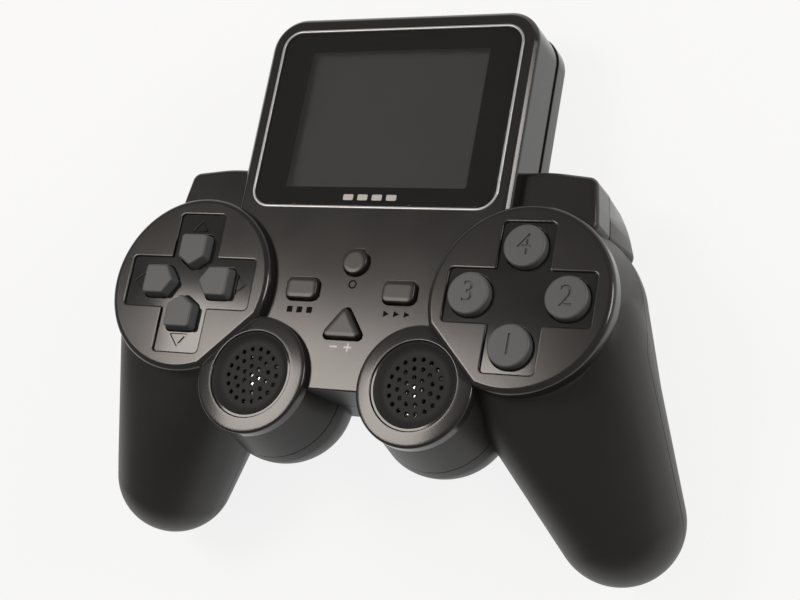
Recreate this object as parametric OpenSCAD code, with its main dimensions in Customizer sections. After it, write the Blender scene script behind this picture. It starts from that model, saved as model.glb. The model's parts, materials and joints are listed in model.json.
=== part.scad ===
// Handheld game console shaped like a gamepad, with a screen block above the face.
// Pieces are drawn in the face frame: X right, Y up the face, Z out of the face.
// Y is 0 at the lower trim line of the screen and Z is 0 on the centre plate.
// rest() then lays the console on its back: it stands on both grips and the block's rear edge.

/* [Case] */
// Wall thickness of both shells
wall = 2; // [1.6:0.1:2.6]
// Depth of the parting seam behind the plate
parting = 14; // [12.5:0.5:15]
// Depth of the case behind the plate
body_depth = 26; // [24:0.5:30]
// Lower edge of the centre plate, below the trim line
plate_bottom = 45.9; // [44:0.1:48]
// Half width of the plate between the pots
plate_half = 33; // [31:0.5:34]
// Depth of the flats that the console rests on
rest_flat = 0.4; // [0.2:0.1:0.8]

/* [Screen block] */
// Width of the screen block
block_w = 73.6; // [72:0.2:78]
// Top edge of the block above the trim line
block_top = 51.8; // [51:0.2:56]
// Depth of the block
block_depth = 20.5; // [19.5:0.5:23]
// Corner radius of the block
block_corner = 8.5; // [6:0.5:10]
// Step of the rear shell inside the front shell's outline
rear_step = 0.6; // [0.3:0.1:1]
// Thickness of the wall that carries the lens
screen_wall = 3.2; // [2.8:0.1:3.8]
// Plain frame between the trim and the block's edge
screen_margin = 3.4; // [2.5:0.1:4]

/* [Screen] */
// Width of the lens
lens_w = 65.2; // [60:0.2:66]
// Height of the lens
lens_h = 46.9; // [45:0.1:48]
// Thickness of the lens
lens_t = 1.5; // [1:0.1:1.8]
// Corner radius of the lens
lens_corner = 5.4; // [3:0.2:8]
// Width of the bright trim ring
trim_w = 1; // [0.6:0.1:1.4]
// Width of the picture
view_w = 48.96; // [40:0.1:52]
// Height of the picture
view_h = 36.72; // [30:0.1:38]
// Width of the display module
lcd_w = 60.3; // [56:0.1:62]
// Height of the display module
lcd_h = 42.7; // [40:0.1:43.5]
// Thickness of the display module
lcd_t = 2.4; // [1.8:0.1:2.8]

/* [Discs] */
// Distance of a disc's axis from the middle plane
disc_x = 43.9; // [42:0.1:46]
// Distance of a disc's axis below the trim line
disc_y = 21.8; // [20:0.1:24]
// Radius of a disc
disc_r = 22.5; // [21.5:0.1:23.5]
// Height of a disc above the plate
disc_rise = 3; // [2.5:0.1:4]
// Thickness of a disc's face
disc_wall = 2.5; // [2.2:0.1:2.6]
// Rounding of a disc's edge
disc_round = 1.5; // [0.6:0.1:2]
// Radius of the case below a disc, at the seam
skirt_r = 24.6; // [24:0.1:26.5]
// Radius of the case below a disc, at the back
heel_r = 22; // [20:0.5:23]
// Width of the cross recess's arms
recess_arm = 13; // [12.5:0.1:14]
// Reach of the cross recess from the disc's axis
recess_reach = 18; // [17.5:0.1:19]
// Depth of the cross recess
recess_depth = 1; // [0.6:0.1:1.1]

/* [Keys and buttons] */
// Side play of every key and button in its opening
key_play = 0.3; // [0.2:0.05:0.4]
// Travel of the direction keys and action buttons
key_travel = 1.2; // [0.8:0.1:1.3]
// Travel of the centre buttons
centre_travel = 0.8; // [0.5:0.1:1]
// Width of a direction key
key_w = 8; // [7:0.1:8.6]
// Length of a direction key
key_len = 9; // [8:0.1:9.4]
// Length of a direction key's pointed end
key_tip = 2.6; // [2:0.1:3.2]
// Distance of a direction key's middle from the disc's axis
key_place = 7.9; // [7.6:0.1:8.4]
// Height of a direction key above the disc
key_rise = 2.1; // [1.6:0.1:2.6]
// Radius of an action button
cap_r = 5.1; // [4.6:0.1:5.5]
// Distance of an action button from the disc's axis
cap_place = 11.8; // [11.4:0.1:12.2]
// Height of an action button above the disc
cap_rise = 1.5; // [1.2:0.1:2]
// Width of the select and start bars
bar_w = 8.3; // [7:0.1:9]
// Height of the select and start bars
bar_h = 5.3; // [4.5:0.1:6]
// Distance of a bar from the middle plane
bar_x = 13; // [12:0.1:14]
// Distance of the bars below the trim line
bar_y = 21.3; // [20:0.1:22.5]
// Radius of the reset button
reset_r = 3.2; // [2.8:0.1:3.6]
// Distance of the reset button below the trim line
reset_y = 14.1; // [13:0.1:15]
// Radius round the volume triangle's corners
volume_r = 5; // [4.6:0.1:5.6]
// Distance of the volume triangle below the trim line
volume_y = 30; // [29:0.1:31]
// Height of the centre buttons above the plate
centre_rise = 1.5; // [1:0.1:2]
// Thickness of the flange that holds a key in
flange_t = 1; // [0.8:0.1:1.2]
// Reach of that flange beyond the key
flange_reach = 0.9; // [0.7:0.1:1]

/* [Speaker pots] */
// Distance of a pot's axis from the middle plane
pot_x = 21.6; // [21:0.1:22.5]
// Distance of a pot's axis below the trim line
pot_y = 43.8; // [43:0.1:45]
// Radius of a pot's ring
pot_r = 14.6; // [14:0.1:15]
// Height of the ring above the plate
pot_rise = 2.3; // [2.2:0.1:2.6]
// Rounding of the ring's edge
pot_round = 1.2; // [0.6:0.1:1.6]
// Radius of the pot's round rear lobe
lobe_r = 17; // [16:0.1:17.5]
// Depth of the lobe's middle
lobe_depth = 16.7; // [16:0.1:18]
// Radius of the speaker grille
grille_r = 10.6; // [10:0.1:10.8]
// Distance of the straight edge between disc and pot from the pot's axis
pot_chord = 10.9; // [10.9:0.1:11.2]
// Radius of a sound hole
sound_hole_r = 0.5; // [0.35:0.05:0.6]
// Spacing of the rings of sound holes
sound_ring = 2.2; // [1.8:0.1:2.3]
// Radius of a speaker
speaker_r = 9.5; // [8.5:0.1:10]
// Depth of a speaker
speaker_t = 4.6; // [3.5:0.1:5]

/* [Shoulders] */
// Top of a shoulder at the screen block
shoulder_top = 12.2; // [11:0.1:13]
// Drop of a shoulder's front face below the plate
shoulder_drop = 4.5; // [3.5:0.1:6]
// Depth of a shoulder behind the plate
shoulder_depth = 25; // [24:0.5:26]
// Radius of a shoulder's outer corner
shoulder_round = 3; // [2:0.1:4]

/* [Grips] */
// Radius of a grip at its root
grip_root_r = 22.2; // [21:0.1:22.8]
// Radius of a grip at its tip
grip_tip_r = 15.4; // [14:0.1:16.5]
// Distance of a grip's tip from the middle plane
grip_tip_x = 61.8; // [60:0.1:64]
// Distance of a grip's tip below the trim line
grip_tip_y = 62.8; // [60:0.1:68]
// Depth of a grip's tip behind the plate
grip_tip_z = 36.6; // [35:0.1:38]

/* [Battery] */
// Width of the battery
battery_w = 53; // [48:0.5:54]
// Height of the battery
battery_h = 34; // [32:0.5:35]
// Thickness of the battery
battery_t = 5.7; // [4.5:0.1:6]
// Distance of the battery's middle below the trim line
battery_y = 7.5; // [7:0.1:8]
// Thickness of the battery cover
cover_t = 1.5; // [1.4:0.1:1.8]
// Play round the battery and its cover
cover_play = 0.3; // [0.2:0.05:0.4]

/* [Boards] */
// Depth of the main board's front face
board_depth = 8; // [7.8:0.1:8.4]
// Thickness of the boards
board_t = 1.6; // [1:0.1:1.6]
// Thickness of the rubber membranes
rubber_t = 0.8; // [0.6:0.1:1]
// Height of a rubber dome, pressed flat
dome_h = 0.8; // [0.6:0.1:1]
// Width of the charging port
port_w = 8.9; // [7.5:0.1:9.2]
// Height of the charging port
port_h = 3.2; // [2.6:0.1:3.4]
// Distance of port and switch from the middle plane
port_x = 12; // [10:0.5:14]
// Travel of the power switch
switch_travel = 2.5; // [1.5:0.1:3]

/* [Screws] */
// Radius of a screw's shank
screw_r = 0.95; // [0.8:0.05:1.05]
// Radius of a screw's head
screw_head_r = 1.8; // [1.6:0.1:1.9]
// Height of a screw's head
screw_head_t = 1.3; // [1:0.1:1.6]
// Play of a screw in its hole
screw_play = 0.15; // [0.1:0.05:0.2]

/* [Hidden] */
$fn = 48;
big = 300;
cut = 0.5;
satin_black = "#34302e";
key_grey = "#4a4846";
board_green = "#1f5a38";
steel = "silver";

// Screen places
lens_y = block_top - screen_margin - trim_w - lens_h / 2;
lens_play = 0.1;
trim_proud = 0.1;
lcd_y = lens_y + 0.2;
lcd_back = screen_wall + lcd_t;
window_edge = 2;

// Grip axis, from the root under the disc to the tip; the seam runs just ahead of it
grip_root_x = disc_x + 4.8;
grip_root_y = disc_y + 11.8;
grip_root_z = 17.4;
grip_run = [grip_tip_x - grip_root_x, grip_root_y - grip_tip_y, grip_root_z - grip_tip_z];
grip_len = norm(grip_run);
grip_taper = asin((grip_root_r - grip_tip_r) / grip_len);
grip_slope = grip_run.z / grip_run.y;
grip_ceiling = 1;
seam_ahead = 0.4;
seam_inside = 1.4;
seam_y = grip_root_y + (parting - grip_root_z + seam_ahead) / grip_slope;
seam_x = pot_x + lobe_r - seam_inside;

// Resting pose: both grip tips and the block's rear edge stand on one plane
edge_y = block_top - rear_step;
rest_rise = edge_y + grip_tip_y;
rest_drop = grip_tip_z - block_depth;
rest_tilt = atan2(rest_drop, rest_rise) + asin(grip_tip_r / norm([rest_rise, rest_drop]));
rest_lift = edge_y * sin(rest_tilt) + block_depth * cos(rest_tilt) - rest_flat;
front_reach = block_top * cos(rest_tilt);
back_reach = grip_tip_y * cos(rest_tilt) + grip_tip_z * sin(rest_tilt) + grip_tip_r;
rest_middle = (front_reach - back_reach) / 2;

// Shoulder: its root in the block, its foot under the disc, its outer corner and its heels
shoulder_root = plate_half - 3;
shoulder_foot = 12 - disc_y;
shoulder_crest = disc_x - 2;
shoulder_bend = [disc_x + 7.6, shoulder_top - 4.6];
heel_back = 6;
heel_reach = 14.7;
heel_drop = 23.3;
heel_flare = 2.7;
front_heel = [disc_x + heel_reach, disc_y - heel_drop];
rear_heel = front_heel + [heel_flare, -heel_flare];

// Disc and pot
waist = 8;
disc_lip = 1.6;
disc_neck = disc_r - 0.6;
disc_inside = disc_rise - disc_wall;
recess_floor = disc_rise - recess_depth;
pot_inside = pot_rise - wall;
pot_collar = 1;
pot_neck = pot_r - 0.5;
pot_turn = atan2(pot_y - disc_y, disc_x - pot_x);
disc_chord = norm([disc_x - pot_x, pot_y - disc_y]) - pot_chord;
grille_play = 0.1;
flange_play = 0.4;
grille_flange_r = pot_neck - wall - flange_play;
grille_flange_t = 1.4;
grille_back = pot_inside - grille_play - grille_flange_t;

// Keys and buttons
flange_gap = 0.1;
stem_r = 2;
stem_gap = 0.4;
stem_limit = board_depth - rubber_t - dome_h - stem_gap;
bar_corner = 1.6;
volume_corner = 1.4;
key_turns = [0, -90, 180, 90];

// Boards
board_half = plate_half - wall - 1.5;
board_top = 1.5;
board_bottom = plate_bottom - wall - 0.9;
board_back = board_depth + board_t;
board_disc_r = disc_r - 4;
membrane_r = disc_r - 6.5;
centre_pad = [bar_x + bar_w / 2 + 1.5, reset_y - reset_r - 1.5, volume_y + volume_r];
board_posts = [[28, 6], [6, 40]];
board_post_r = 2.5;

// Case screws: places, and the seam's depth there
post_r = 3.4;
boss_r = 2.2;
tip_post = [4.8, 12.8];
case_posts = [
    [26, block_top - wall - 2, parting],
    [disc_x + 2.6, 4.5, parting],
    [
        grip_tip_x - tip_post.x,
        tip_post.y - grip_tip_y,
        parting + (grip_tip_y - tip_post.y - seam_y) * grip_slope
    ]
];
screw_seat = 2.4;
screw_bite = 7;
well_r = screw_head_r + screw_play;

// Battery bay in the back
hump_half = battery_w / 2 + 6.5;
hump_top = battery_h / 2 - battery_y + 4.5;
bay_w = battery_w + 2 * cover_play;
bay_h = battery_h + 2 * cover_play;
bay_wall = 1.2;
bay_corner = 0.5;
cover_w = battery_w + 6;
cover_end = battery_y + battery_h / 2 + 2.5;
cover_lip = 0.7;
cover_tongue = 0.8;
groove_size = [16, 1.2, 0.4];
groove_pitch = 2.4;
groove_start = 4;
bay_mouth = body_depth - cover_t - cover_play;
bay_floor = bay_mouth - battery_t - cover_play;
rail_half = cover_w / 2 + cover_tongue + cover_play + 1.4;
contact_size = [1.6, bay_wall + 0.2, 3];
contact_pitch = 4;

// Port board behind the display
port_board_t = 1;
port_board_depth = 12;
port_board_half = 20;
port_board_h = 9.5;
port_board_top = block_top - wall - 0.4;
port_post = [port_board_half - 4, port_board_top - port_board_h / 2];
port_post_r = 1.5;
port_len = 7.3;
port_play = 0.3;
port_skin = 0.35;
switch_size = [8.6, 3.8, 3.6];
slider_size = [2.4, 5.2, 1.6];
slider_proud = 1.2;
ribbon_t = 0.3;
ribbon_w = 8;
ribbon_x = 18;
ribbon_hold = 3;

// Chips and cables on the main board
chip_r = 6.5;
chip_foot_r = 5;
chip_t = 1.4;
memory_size = [11, 8, 1.2];
memory_place = [14, disc_y + 3];
flex_w = 22;
flex_hold = 6;
board_hold = 5;
lead_t = 0.6;
lead_rise = 7;
lead_hold = 3.5;
lead_bend = 0.5;

// Points along an arc in the plane
function arc(c, r, from, to, n = 8) =
    [for (i = [0:n]) c + r * [cos(from + (to - from) * i / n), sin(from + (to - from) * i / n)]];

// Points round a full circle
function ring_points(r) = [for (i = [1:$fn]) r * [cos(360 * i / $fn), sin(360 * i / $fn)]];

function round_rect(w, h, r) = concat(
    arc([w / 2 - r, h / 2 - r], r, 0, 90),
    arc([r - w / 2, h / 2 - r], r, 90, 180),
    arc([r - w / 2, r - h / 2], r, 180, 270),
    arc([w / 2 - r, r - h / 2], r, 270, 360)
);

// A house outline that points down, widened by g all round
function key_outline(g) = [
    [-key_w / 2 - g, key_len / 2 + g],
    [-key_w / 2 - g, key_tip - key_len / 2 - g / 2],
    [0, -key_len / 2 - 1.2 * g],
    [key_w / 2 + g, key_tip - key_len / 2 - g / 2],
    [key_w / 2 + g, key_len / 2 + g]
];

// A triangle with round corners that points up, widened by g
function volume_outline(g) = [
    for (a = [90, 210, 330])
        each arc((volume_r - volume_corner) * [cos(a), sin(a)], volume_corner + g, a - 60, a + 60)
];

// Outline of the screen block and centre plate, moved in by i
function spine_outline(i) = concat(
    arc([block_w / 2 - block_corner, block_top - block_corner], block_corner - i, 0, 90),
    arc([block_corner - block_w / 2, block_top - block_corner], block_corner - i, 90, 180),
    [
        [i - block_w / 2, waist - disc_y],
        [i - plate_half, -waist - disc_y],
        [i - plate_half, i - plate_bottom],
        [plate_half - i, i - plate_bottom],
        [plate_half - i, -waist - disc_y],
        [block_w / 2 - i, waist - disc_y]
    ]
);

// Outline of the right shoulder, moved in by i; the heel runs out over the disc's skirt
function shoulder_outline(i, heel) = concat(
    [[shoulder_root, shoulder_foot], [heel.x - heel_back, shoulder_foot], [heel.x - i, heel.y]],
    arc(shoulder_bend, shoulder_round - i, 20, 100),
    [[shoulder_crest, shoulder_top - i], [shoulder_root, shoulder_top - i]]
);

module rest() {
    translate([0, -rest_middle, rest_lift])
        rotate([-rest_tilt, 0, 0])
            children();
}

module both_sides() {
    children();
    mirror([1, 0, 0])
        children();
}

// A prism of an outline between two depths behind the plate
module slab(near, far, outline) {
    translate([0, 0, -far])
        linear_extrude(far - near)
            polygon(outline);
}

// A bar along X of an outline in Y and Z
module bar_along_x(middle, width, outline) {
    translate([middle - width / 2, 0, 0])
        rotate([90, 0, 90])
            linear_extrude(width)
                polygon(outline);
}

module at_disc() {
    translate([disc_x, -disc_y, 0])
        children();
}

module at_pot() {
    translate([pot_x, -pot_y, 0])
        children();
}

// Case below one disc, moved in by i, with the straight edge towards the pot
module disc_solid(i) {
    top = i > 0 ? disc_inside : disc_rise;
    rim = i > 0 ? [[disc_r - i, top]] : arc([disc_r - disc_round, top - disc_round], disc_round, 90, 0, 5);
    difference() {
        rotate_extrude()
            polygon(concat(
                [[0, top]],
                rim,
                [
                    [disc_r - i, -disc_lip],
                    [disc_neck - i, -disc_lip - 0.01],
                    [skirt_r - i, -parting],
                    [skirt_r - i, -parting - 2],
                    [heel_r - i, i - body_depth],
                    [0, i - body_depth]
                ]
            ));
        if (i == 0)
            rotate([0, 0, 180 + pot_turn])
                translate([disc_chord, -big / 2, -disc_lip])
                    cube([big, big, big]);
    }
}

// One speaker pot with its rear lobe, moved in by i
module pot_solid(i) {
    top = i > 0 ? pot_inside : pot_rise;
    rim = i > 0 ? [[pot_r - i, top]] : arc([pot_r - pot_round, top - pot_round], pot_round, 90, 0, 5);
    rotate_extrude()
        polygon(concat(
            [[0, top]],
            rim,
            [[pot_r - i, -pot_collar], [pot_neck - i, -pot_collar - 0.01]],
            arc([0, -lobe_depth], lobe_r - i, 0, -90, 12)
        ));
}

// One grip: a tapered round bar from under the disc to the tip, moved in by i
module grip_solid(i) {
    intersection() {
        translate([grip_root_x, -grip_root_y, -grip_root_z])
            rotate([0, acos(grip_run.z / grip_len), atan2(grip_run.y, grip_run.x)])
                rotate_extrude()
                    polygon(concat(
                        arc([0, 0], grip_root_r - i, -90, grip_taper, 12),
                        arc([0, grip_len], grip_tip_r - i, grip_taper, 90, 10)
                    ));
        translate([-big / 2, -big / 2, grip_ceiling - i - big])
            cube(big);
    }
}

// The whole case as one solid, moved in by i
module case_solid(i) {
    slab(i, parting + cut, spine_outline(i));
    slab(parting, block_depth - i, spine_outline(i + rear_step));
    slab(parting, body_depth - i, [
        [i - hump_half, i - plate_bottom],
        [hump_half - i, i - plate_bottom],
        [hump_half - i, hump_top - i],
        [i - hump_half, hump_top - i]
    ]);
    both_sides() {
        at_disc()
            disc_solid(i);
        at_pot()
            pot_solid(i);
        grip_solid(i);
        slab(shoulder_drop + i, parting + i + cut, shoulder_outline(i, front_heel));
        slab(parting + i, shoulder_depth - i, shoulder_outline(i, rear_heel));
    }
}

// Space in front of the parting seam, which slopes down the middle of each grip
module front_zone() {
    translate([-big / 2, -big / 2, -parting])
        cube(big);
    both_sides()
        translate([seam_x, 0, 0])
            bar_along_x(big / 4, big / 2, [
                [-seam_y, -parting],
                [-seam_y, cut - parting],
                [-big / 2, cut - parting],
                [-big / 2, -parting + grip_slope * (seam_y - big / 2)]
            ]);
}

module case_post(place, r, near, far) {
    translate([place.x, place.y, -far])
        cylinder(r = r, h = far - near);
}

// Posts of the right-hand case screws, from wall to wall through the seam
module case_bosses(r) {
    case_post(case_posts[0], r, screen_wall - cut, block_depth - cut);
    case_post(case_posts[1], r, shoulder_drop + cut, shoulder_depth - cut);
    intersection() {
        case_post(case_posts[2], r, 0, big);
        grip_solid(cut);
    }
}

module board_post(place, r, near, far) {
    translate([place.x, -place.y, -far])
        cylinder(r = r, h = far - near);
}

// One of the four places round a disc's axis
module in_four(n) {
    rotate([0, 0, key_turns[n]])
        children();
}

module disc_recess() {
    translate([0, 0, recess_floor]) {
        translate([-recess_arm / 2, -recess_reach, 0])
            cube([recess_arm, 2 * recess_reach, big]);
        translate([-recess_reach, -recess_arm / 2, 0])
            cube([2 * recess_reach, recess_arm, big]);
    }
}

module front_openings() {
    translate([0, lens_y, 0]) {
        slab(-cut, lens_t + lens_play, round_rect(
            lens_w + 2 * trim_w + 2 * lens_play,
            lens_h + 2 * trim_w + 2 * lens_play,
            lens_corner + trim_w
        ));
        slab(0, screen_wall + cut, round_rect(view_w + 2 * window_edge, view_h + 2 * window_edge, 1));
    }
    both_sides() {
        at_disc()
            disc_recess();
        at_pot()
            translate([0, 0, -cut])
                cylinder(r = grille_r + grille_play, h = big);
        translate([bar_x, -bar_y, 0])
            slab(-cut, wall + cut, round_rect(
                bar_w + 2 * key_play,
                bar_h + 2 * key_play,
                bar_corner + key_play
            ));
    }
    at_disc()
        for (n = [0:3])
            in_four(n)
                translate([0, cap_place, -cut])
                    cylinder(r = cap_r + key_play, h = big);
    mirror([1, 0, 0])
        at_disc()
            for (n = [0:3])
                in_four(n)
                    translate([0, key_place, 0])
                        slab(-disc_rise - cut, cut, key_outline(key_play));
    translate([0, -reset_y, -wall - cut])
        cylinder(r = reset_r + key_play, h = big);
    translate([0, -volume_y, 0])
        slab(-cut, wall + cut, volume_outline(key_play));
    port_mouth(port_x, port_w, port_h);
    port_mouth(
        -port_x,
        slider_size.x + switch_travel + 0.2,
        slider_size.z + 0.2,
        (switch_size.z - slider_size.z - 0.2) / 2
    );
}

// A way through the block's top wall, above the port board
module port_mouth(x, w, h, raise = 0) {
    translate([x - w / 2 - port_play, block_top - wall - cut, raise - port_board_depth - port_play])
        cube([w + 2 * port_play, wall + 2 * cut, h + 2 * port_play]);
}

module front_shell() {
    color(satin_black)
        rest()
            difference() {
                union() {
                    difference() {
                        intersection() {
                            case_solid(0);
                            front_zone();
                        }
                        case_solid(wall);
                    }
                    translate([0, lens_y, 0])
                        slab(wall - cut, screen_wall, round_rect(
                            block_w - wall,
                            lens_h + 6,
                            block_corner - wall
                        ));
                    both_sides() {
                        for (place = board_posts)
                            board_post(place, board_post_r, wall - cut, board_depth);
                        intersection() {
                            case_bosses(boss_r);
                            front_zone();
                        }
                    }
                }
                front_openings();
                both_sides() {
                    for (place = board_posts)
                        board_post(place, screw_r + screw_play, board_depth - 5, board_depth + cut);
                    for (place = case_posts)
                        translate([place.x, place.y, -place.z - cut])
                            cylinder(r = screw_r + screw_play, h = screw_bite + cut);
                }
            }
}

module rear_shell() {
    color(satin_black)
        difference() {
            rest()
                difference() {
                    union() {
                        difference() {
                            case_solid(0);
                            case_solid(wall);
                            front_zone();
                        }
                        bay_block();
                        both_sides() {
                            difference() {
                                case_bosses(post_r);
                                front_zone();
                            }
                            translate([port_post.x, port_post.y, cut - block_depth])
                                cylinder(
                                    r = port_post_r,
                                    h = block_depth - cut - port_board_depth - port_board_t
                                );
                        }
                    }
                    bay_cuts();
                    both_sides()
                        for (place = case_posts)
                            translate([place.x, place.y, 0]) {
                                case_post([0, 0], screw_r + screw_play, 0, big);
                                translate([0, 0, -place.z - screw_seat - big])
                                    cylinder(r = well_r, h = big);
                            }
                }
            translate([-big / 2, -big / 2, -big])
                cube(big);
        }
}

// Thick frame for the cover's rails, and the walls round the battery
module bay_block() {
    slab(bay_mouth - 1.5, body_depth - cut, [
        [-rail_half, -cover_end - 1.5],
        [rail_half, -cover_end - 1.5],
        [rail_half, hump_top - cut],
        [-rail_half, hump_top - cut]
    ]);
    translate([0, -battery_y, 0])
        slab(bay_floor - bay_wall, body_depth - wall, round_rect(
            bay_w + 2 * bay_wall,
            bay_h + 2 * bay_wall,
            bay_corner + bay_wall
        ));
}

module bay_cuts() {
    translate([0, -battery_y, 0])
        slab(bay_floor, body_depth + cut, round_rect(bay_w, bay_h, bay_corner));
    cover_rails(cover_play, hump_top + cut);
    battery_contact_places()
        cube(contact_size + [2 * cover_play, 1, 2 * cover_play], center = true);
}

// The cover's stepped section, widened by g, from its closed end to the given top
module cover_rails(g, top) {
    steps = [
        [0, body_depth + g, cover_t - cover_lip - g],
        [cover_tongue, body_depth - cover_lip + g, 0]
    ];
    for (step = steps) {
        half = cover_w / 2 + step[0] + g;
        far = step[1];
        near = body_depth - cover_t + step[2] - g;
        slab(near, far, [[-half, -cover_end - g], [half, -cover_end - g], [half, top], [-half, top]]);
    }
}

module screen_trim() {
    color(steel)
        rest()
            translate([0, lens_y, 0])
                difference() {
                    slab(-trim_proud, lens_t, round_rect(
                        lens_w + 2 * trim_w,
                        lens_h + 2 * trim_w,
                        lens_corner + trim_w
                    ));
                    slab(-cut, lens_t + cut, round_rect(lens_w + lens_play, lens_h + lens_play, lens_corner));
                }
}

module screen_lens() {
    color("#1d1b1a")
        rest()
            translate([0, lens_y, 0])
                slab(0, lens_t, round_rect(lens_w, lens_h, lens_corner));
}

module lcd_panel() {
    color("#3c3b3b")
        rest()
            translate([0, lcd_y, 0])
                slab(screen_wall, lcd_back, round_rect(lcd_w, lcd_h, 0.6));
}

// Flat cable from the display's back down to the main board
module lcd_flex() {
    low = lcd_y - lcd_h / 2;
    color("#b8772c")
        rest()
            bar_along_x(0, flex_w, [
                [low + flex_hold, -lcd_back],
                [low - 1, -lcd_back],
                [-board_top - 0.3, ribbon_t - board_depth],
                [-board_top - board_hold, ribbon_t - board_depth],
                [-board_top - board_hold, -board_depth],
                [-board_top - 0.5, -board_depth],
                [low - 1.2, -lcd_back - ribbon_t],
                [low + flex_hold, -lcd_back - ribbon_t]
            ]);
}

module main_board() {
    color(board_green)
        rest()
            difference() {
                union() {
                    translate([-board_half, -board_bottom, -board_back])
                        cube([2 * board_half, board_bottom - board_top, board_t]);
                    both_sides()
                        board_post([disc_x, disc_y], board_disc_r, board_depth, board_back);
                }
                both_sides()
                    for (place = board_posts)
                        board_post(place, screw_r + screw_play, board_depth - cut, board_back + cut);
            }
}

module processor() {
    color("#222222")
        rest()
            translate([0, -disc_y, -board_back - chip_t])
                cylinder(r1 = chip_foot_r, r2 = chip_r, h = chip_t);
}

module memory_chip() {
    color("#2b2b2b")
        rest()
            translate([memory_place.x, -memory_place.y, -board_back - memory_size.z])
                cube(memory_size);
}

// A rubber sheet on the board with one dome under each key
module four_domes(place) {
    translate([0, 0, -board_depth]) {
        cylinder(r = membrane_r, h = rubber_t);
        for (n = [0:3])
            in_four(n)
                translate([0, place, 0])
                    cylinder(r1 = stem_r + 1.2, r2 = stem_r + 0.4, h = rubber_t + dome_h);
    }
}

module dpad_membrane() {
    color("#8d8f92")
        rest()
            mirror([1, 0, 0])
                at_disc()
                    four_domes(key_place);
}

module action_membrane() {
    color("#8d8f92")
        rest()
            at_disc()
                four_domes(cap_place);
}

module centre_membrane() {
    domes = [[bar_x, bar_y], [-bar_x, bar_y], [0, reset_y], [0, volume_y]];
    color("#8d8f92")
        rest() {
            slab(board_depth - rubber_t, board_depth, [
                [-centre_pad.x, -centre_pad.y],
                [-centre_pad.x, -centre_pad.z],
                [centre_pad.x, -centre_pad.z],
                [centre_pad.x, -centre_pad.y]
            ]);
            for (place = domes)
                translate([place.x, -place.y, -board_depth])
                    cylinder(r1 = stem_r + 1, r2 = stem_r + 0.2, h = rubber_t + dome_h);
        }
}

// A plunger from under a cap down to its rubber dome, short of it by the travel
module stem(near, travel) {
    translate([0, 0, travel - stem_limit])
        cylinder(r = stem_r, h = stem_limit - travel - near);
}

module dpad_key(n) {
    hold = disc_inside - flange_gap;
    color(key_grey)
        rest()
            mirror([1, 0, 0])
                at_disc()
                    in_four(n)
                        translate([0, key_place, 0]) {
                            slab(-disc_rise - key_rise, -hold + cut, key_outline(0));
                            slab(-hold, flange_t - hold, key_outline(flange_reach));
                            stem(0, key_travel);
                        }
}

module dpad_up() { dpad_key(0); }
module dpad_right() { dpad_key(3); }
module dpad_down() { dpad_key(2); }
module dpad_left() { dpad_key(1); }

module action_button(n) {
    hold = disc_inside - flange_gap;
    top = disc_rise + cap_rise;
    stem_end = stem_limit - key_travel;
    color(key_grey)
        rest()
            at_disc()
                in_four(n)
                    translate([0, cap_place, 0])
                        rotate_extrude()
                            polygon([
                                [0, -stem_end],
                                [stem_r, -stem_end],
                                [stem_r, hold - flange_t],
                                [cap_r + flange_reach, hold - flange_t],
                                [cap_r + flange_reach, hold],
                                [cap_r, hold],
                                [cap_r, top - 0.5],
                                [cap_r - 0.4, top],
                                [0, top]
                            ]);
}

module action_1() { action_button(2); }
module action_2() { action_button(1); }
module action_3() { action_button(3); }
module action_4() { action_button(0); }

// A centre button: its cap through the plate, its flange below it and its stem
module centre_button(place, outline, flange) {
    hold = wall + flange_gap;
    color(key_grey)
        rest()
            translate([place.x, -place.y, 0]) {
                slab(-centre_rise, hold + cut, outline);
                slab(hold, hold + flange_t, flange);
                stem(wall, centre_travel);
            }
}

module bar_button(side) {
    f = 2 * flange_reach;
    centre_button(
        [side * bar_x, bar_y],
        round_rect(bar_w, bar_h, bar_corner),
        round_rect(bar_w + f, bar_h + f, bar_corner)
    );
}

module select_button() { bar_button(-1); }
module start_button() { bar_button(1); }

module reset_button() {
    centre_button([0, reset_y], ring_points(reset_r), ring_points(reset_r + flange_reach));
}

module volume_button() {
    centre_button([0, volume_y], volume_outline(0), volume_outline(flange_reach));
}

// Perforated grille: a shallow dish with rings of sound holes, held by a flange under the ring
module grille() {
    rim = pot_rise - 0.3;
    dish = rim - 1;
    difference() {
        rotate_extrude()
            polygon([
                [0, grille_back],
                [grille_flange_r, grille_back],
                [grille_flange_r, grille_back + grille_flange_t],
                [grille_r, grille_back + grille_flange_t],
                [grille_r, rim],
                [grille_r - 0.6, rim],
                [grille_r - 1.4, dish],
                [grille_r - 3, dish],
                [0, dish + 0.5]
            ]);
        translate([0, 0, grille_back - cut]) {
            cylinder(r = sound_hole_r, h = big);
            for (ring = [1:3])
                for (k = [1:6 * ring])
                    rotate([0, 0, 60 * k / ring + 15 * ring])
                        translate([ring * sound_ring, 0, 0])
                            cylinder(r = sound_hole_r, h = big, $fn = 16);
        }
    }
}

module grille_right() {
    color(satin_black)
        rest()
            at_pot()
                grille();
}

module grille_left() {
    color(satin_black)
        rest()
            mirror([1, 0, 0])
                at_pot()
                    grille();
}

// Small round speaker: basket, cone behind the grille and magnet at the back
module speaker() {
    translate([0, 0, grille_back - speaker_t])
        rotate_extrude()
            polygon([
                [0, 0],
                [speaker_r * 0.55, 0],
                [speaker_r * 0.55, speaker_t * 0.5],
                [speaker_r, speaker_t * 0.6],
                [speaker_r, speaker_t],
                [speaker_r - 1, speaker_t],
                [speaker_r * 0.4, speaker_t * 0.75],
                [0, speaker_t * 0.8]
            ]);
}

module speaker_right() {
    color("#5b5b5e")
        rest()
            at_pot()
                speaker();
}

module speaker_left() {
    color("#5b5b5e")
        rest()
            mirror([1, 0, 0])
                at_pot()
                    speaker();
}

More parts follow.
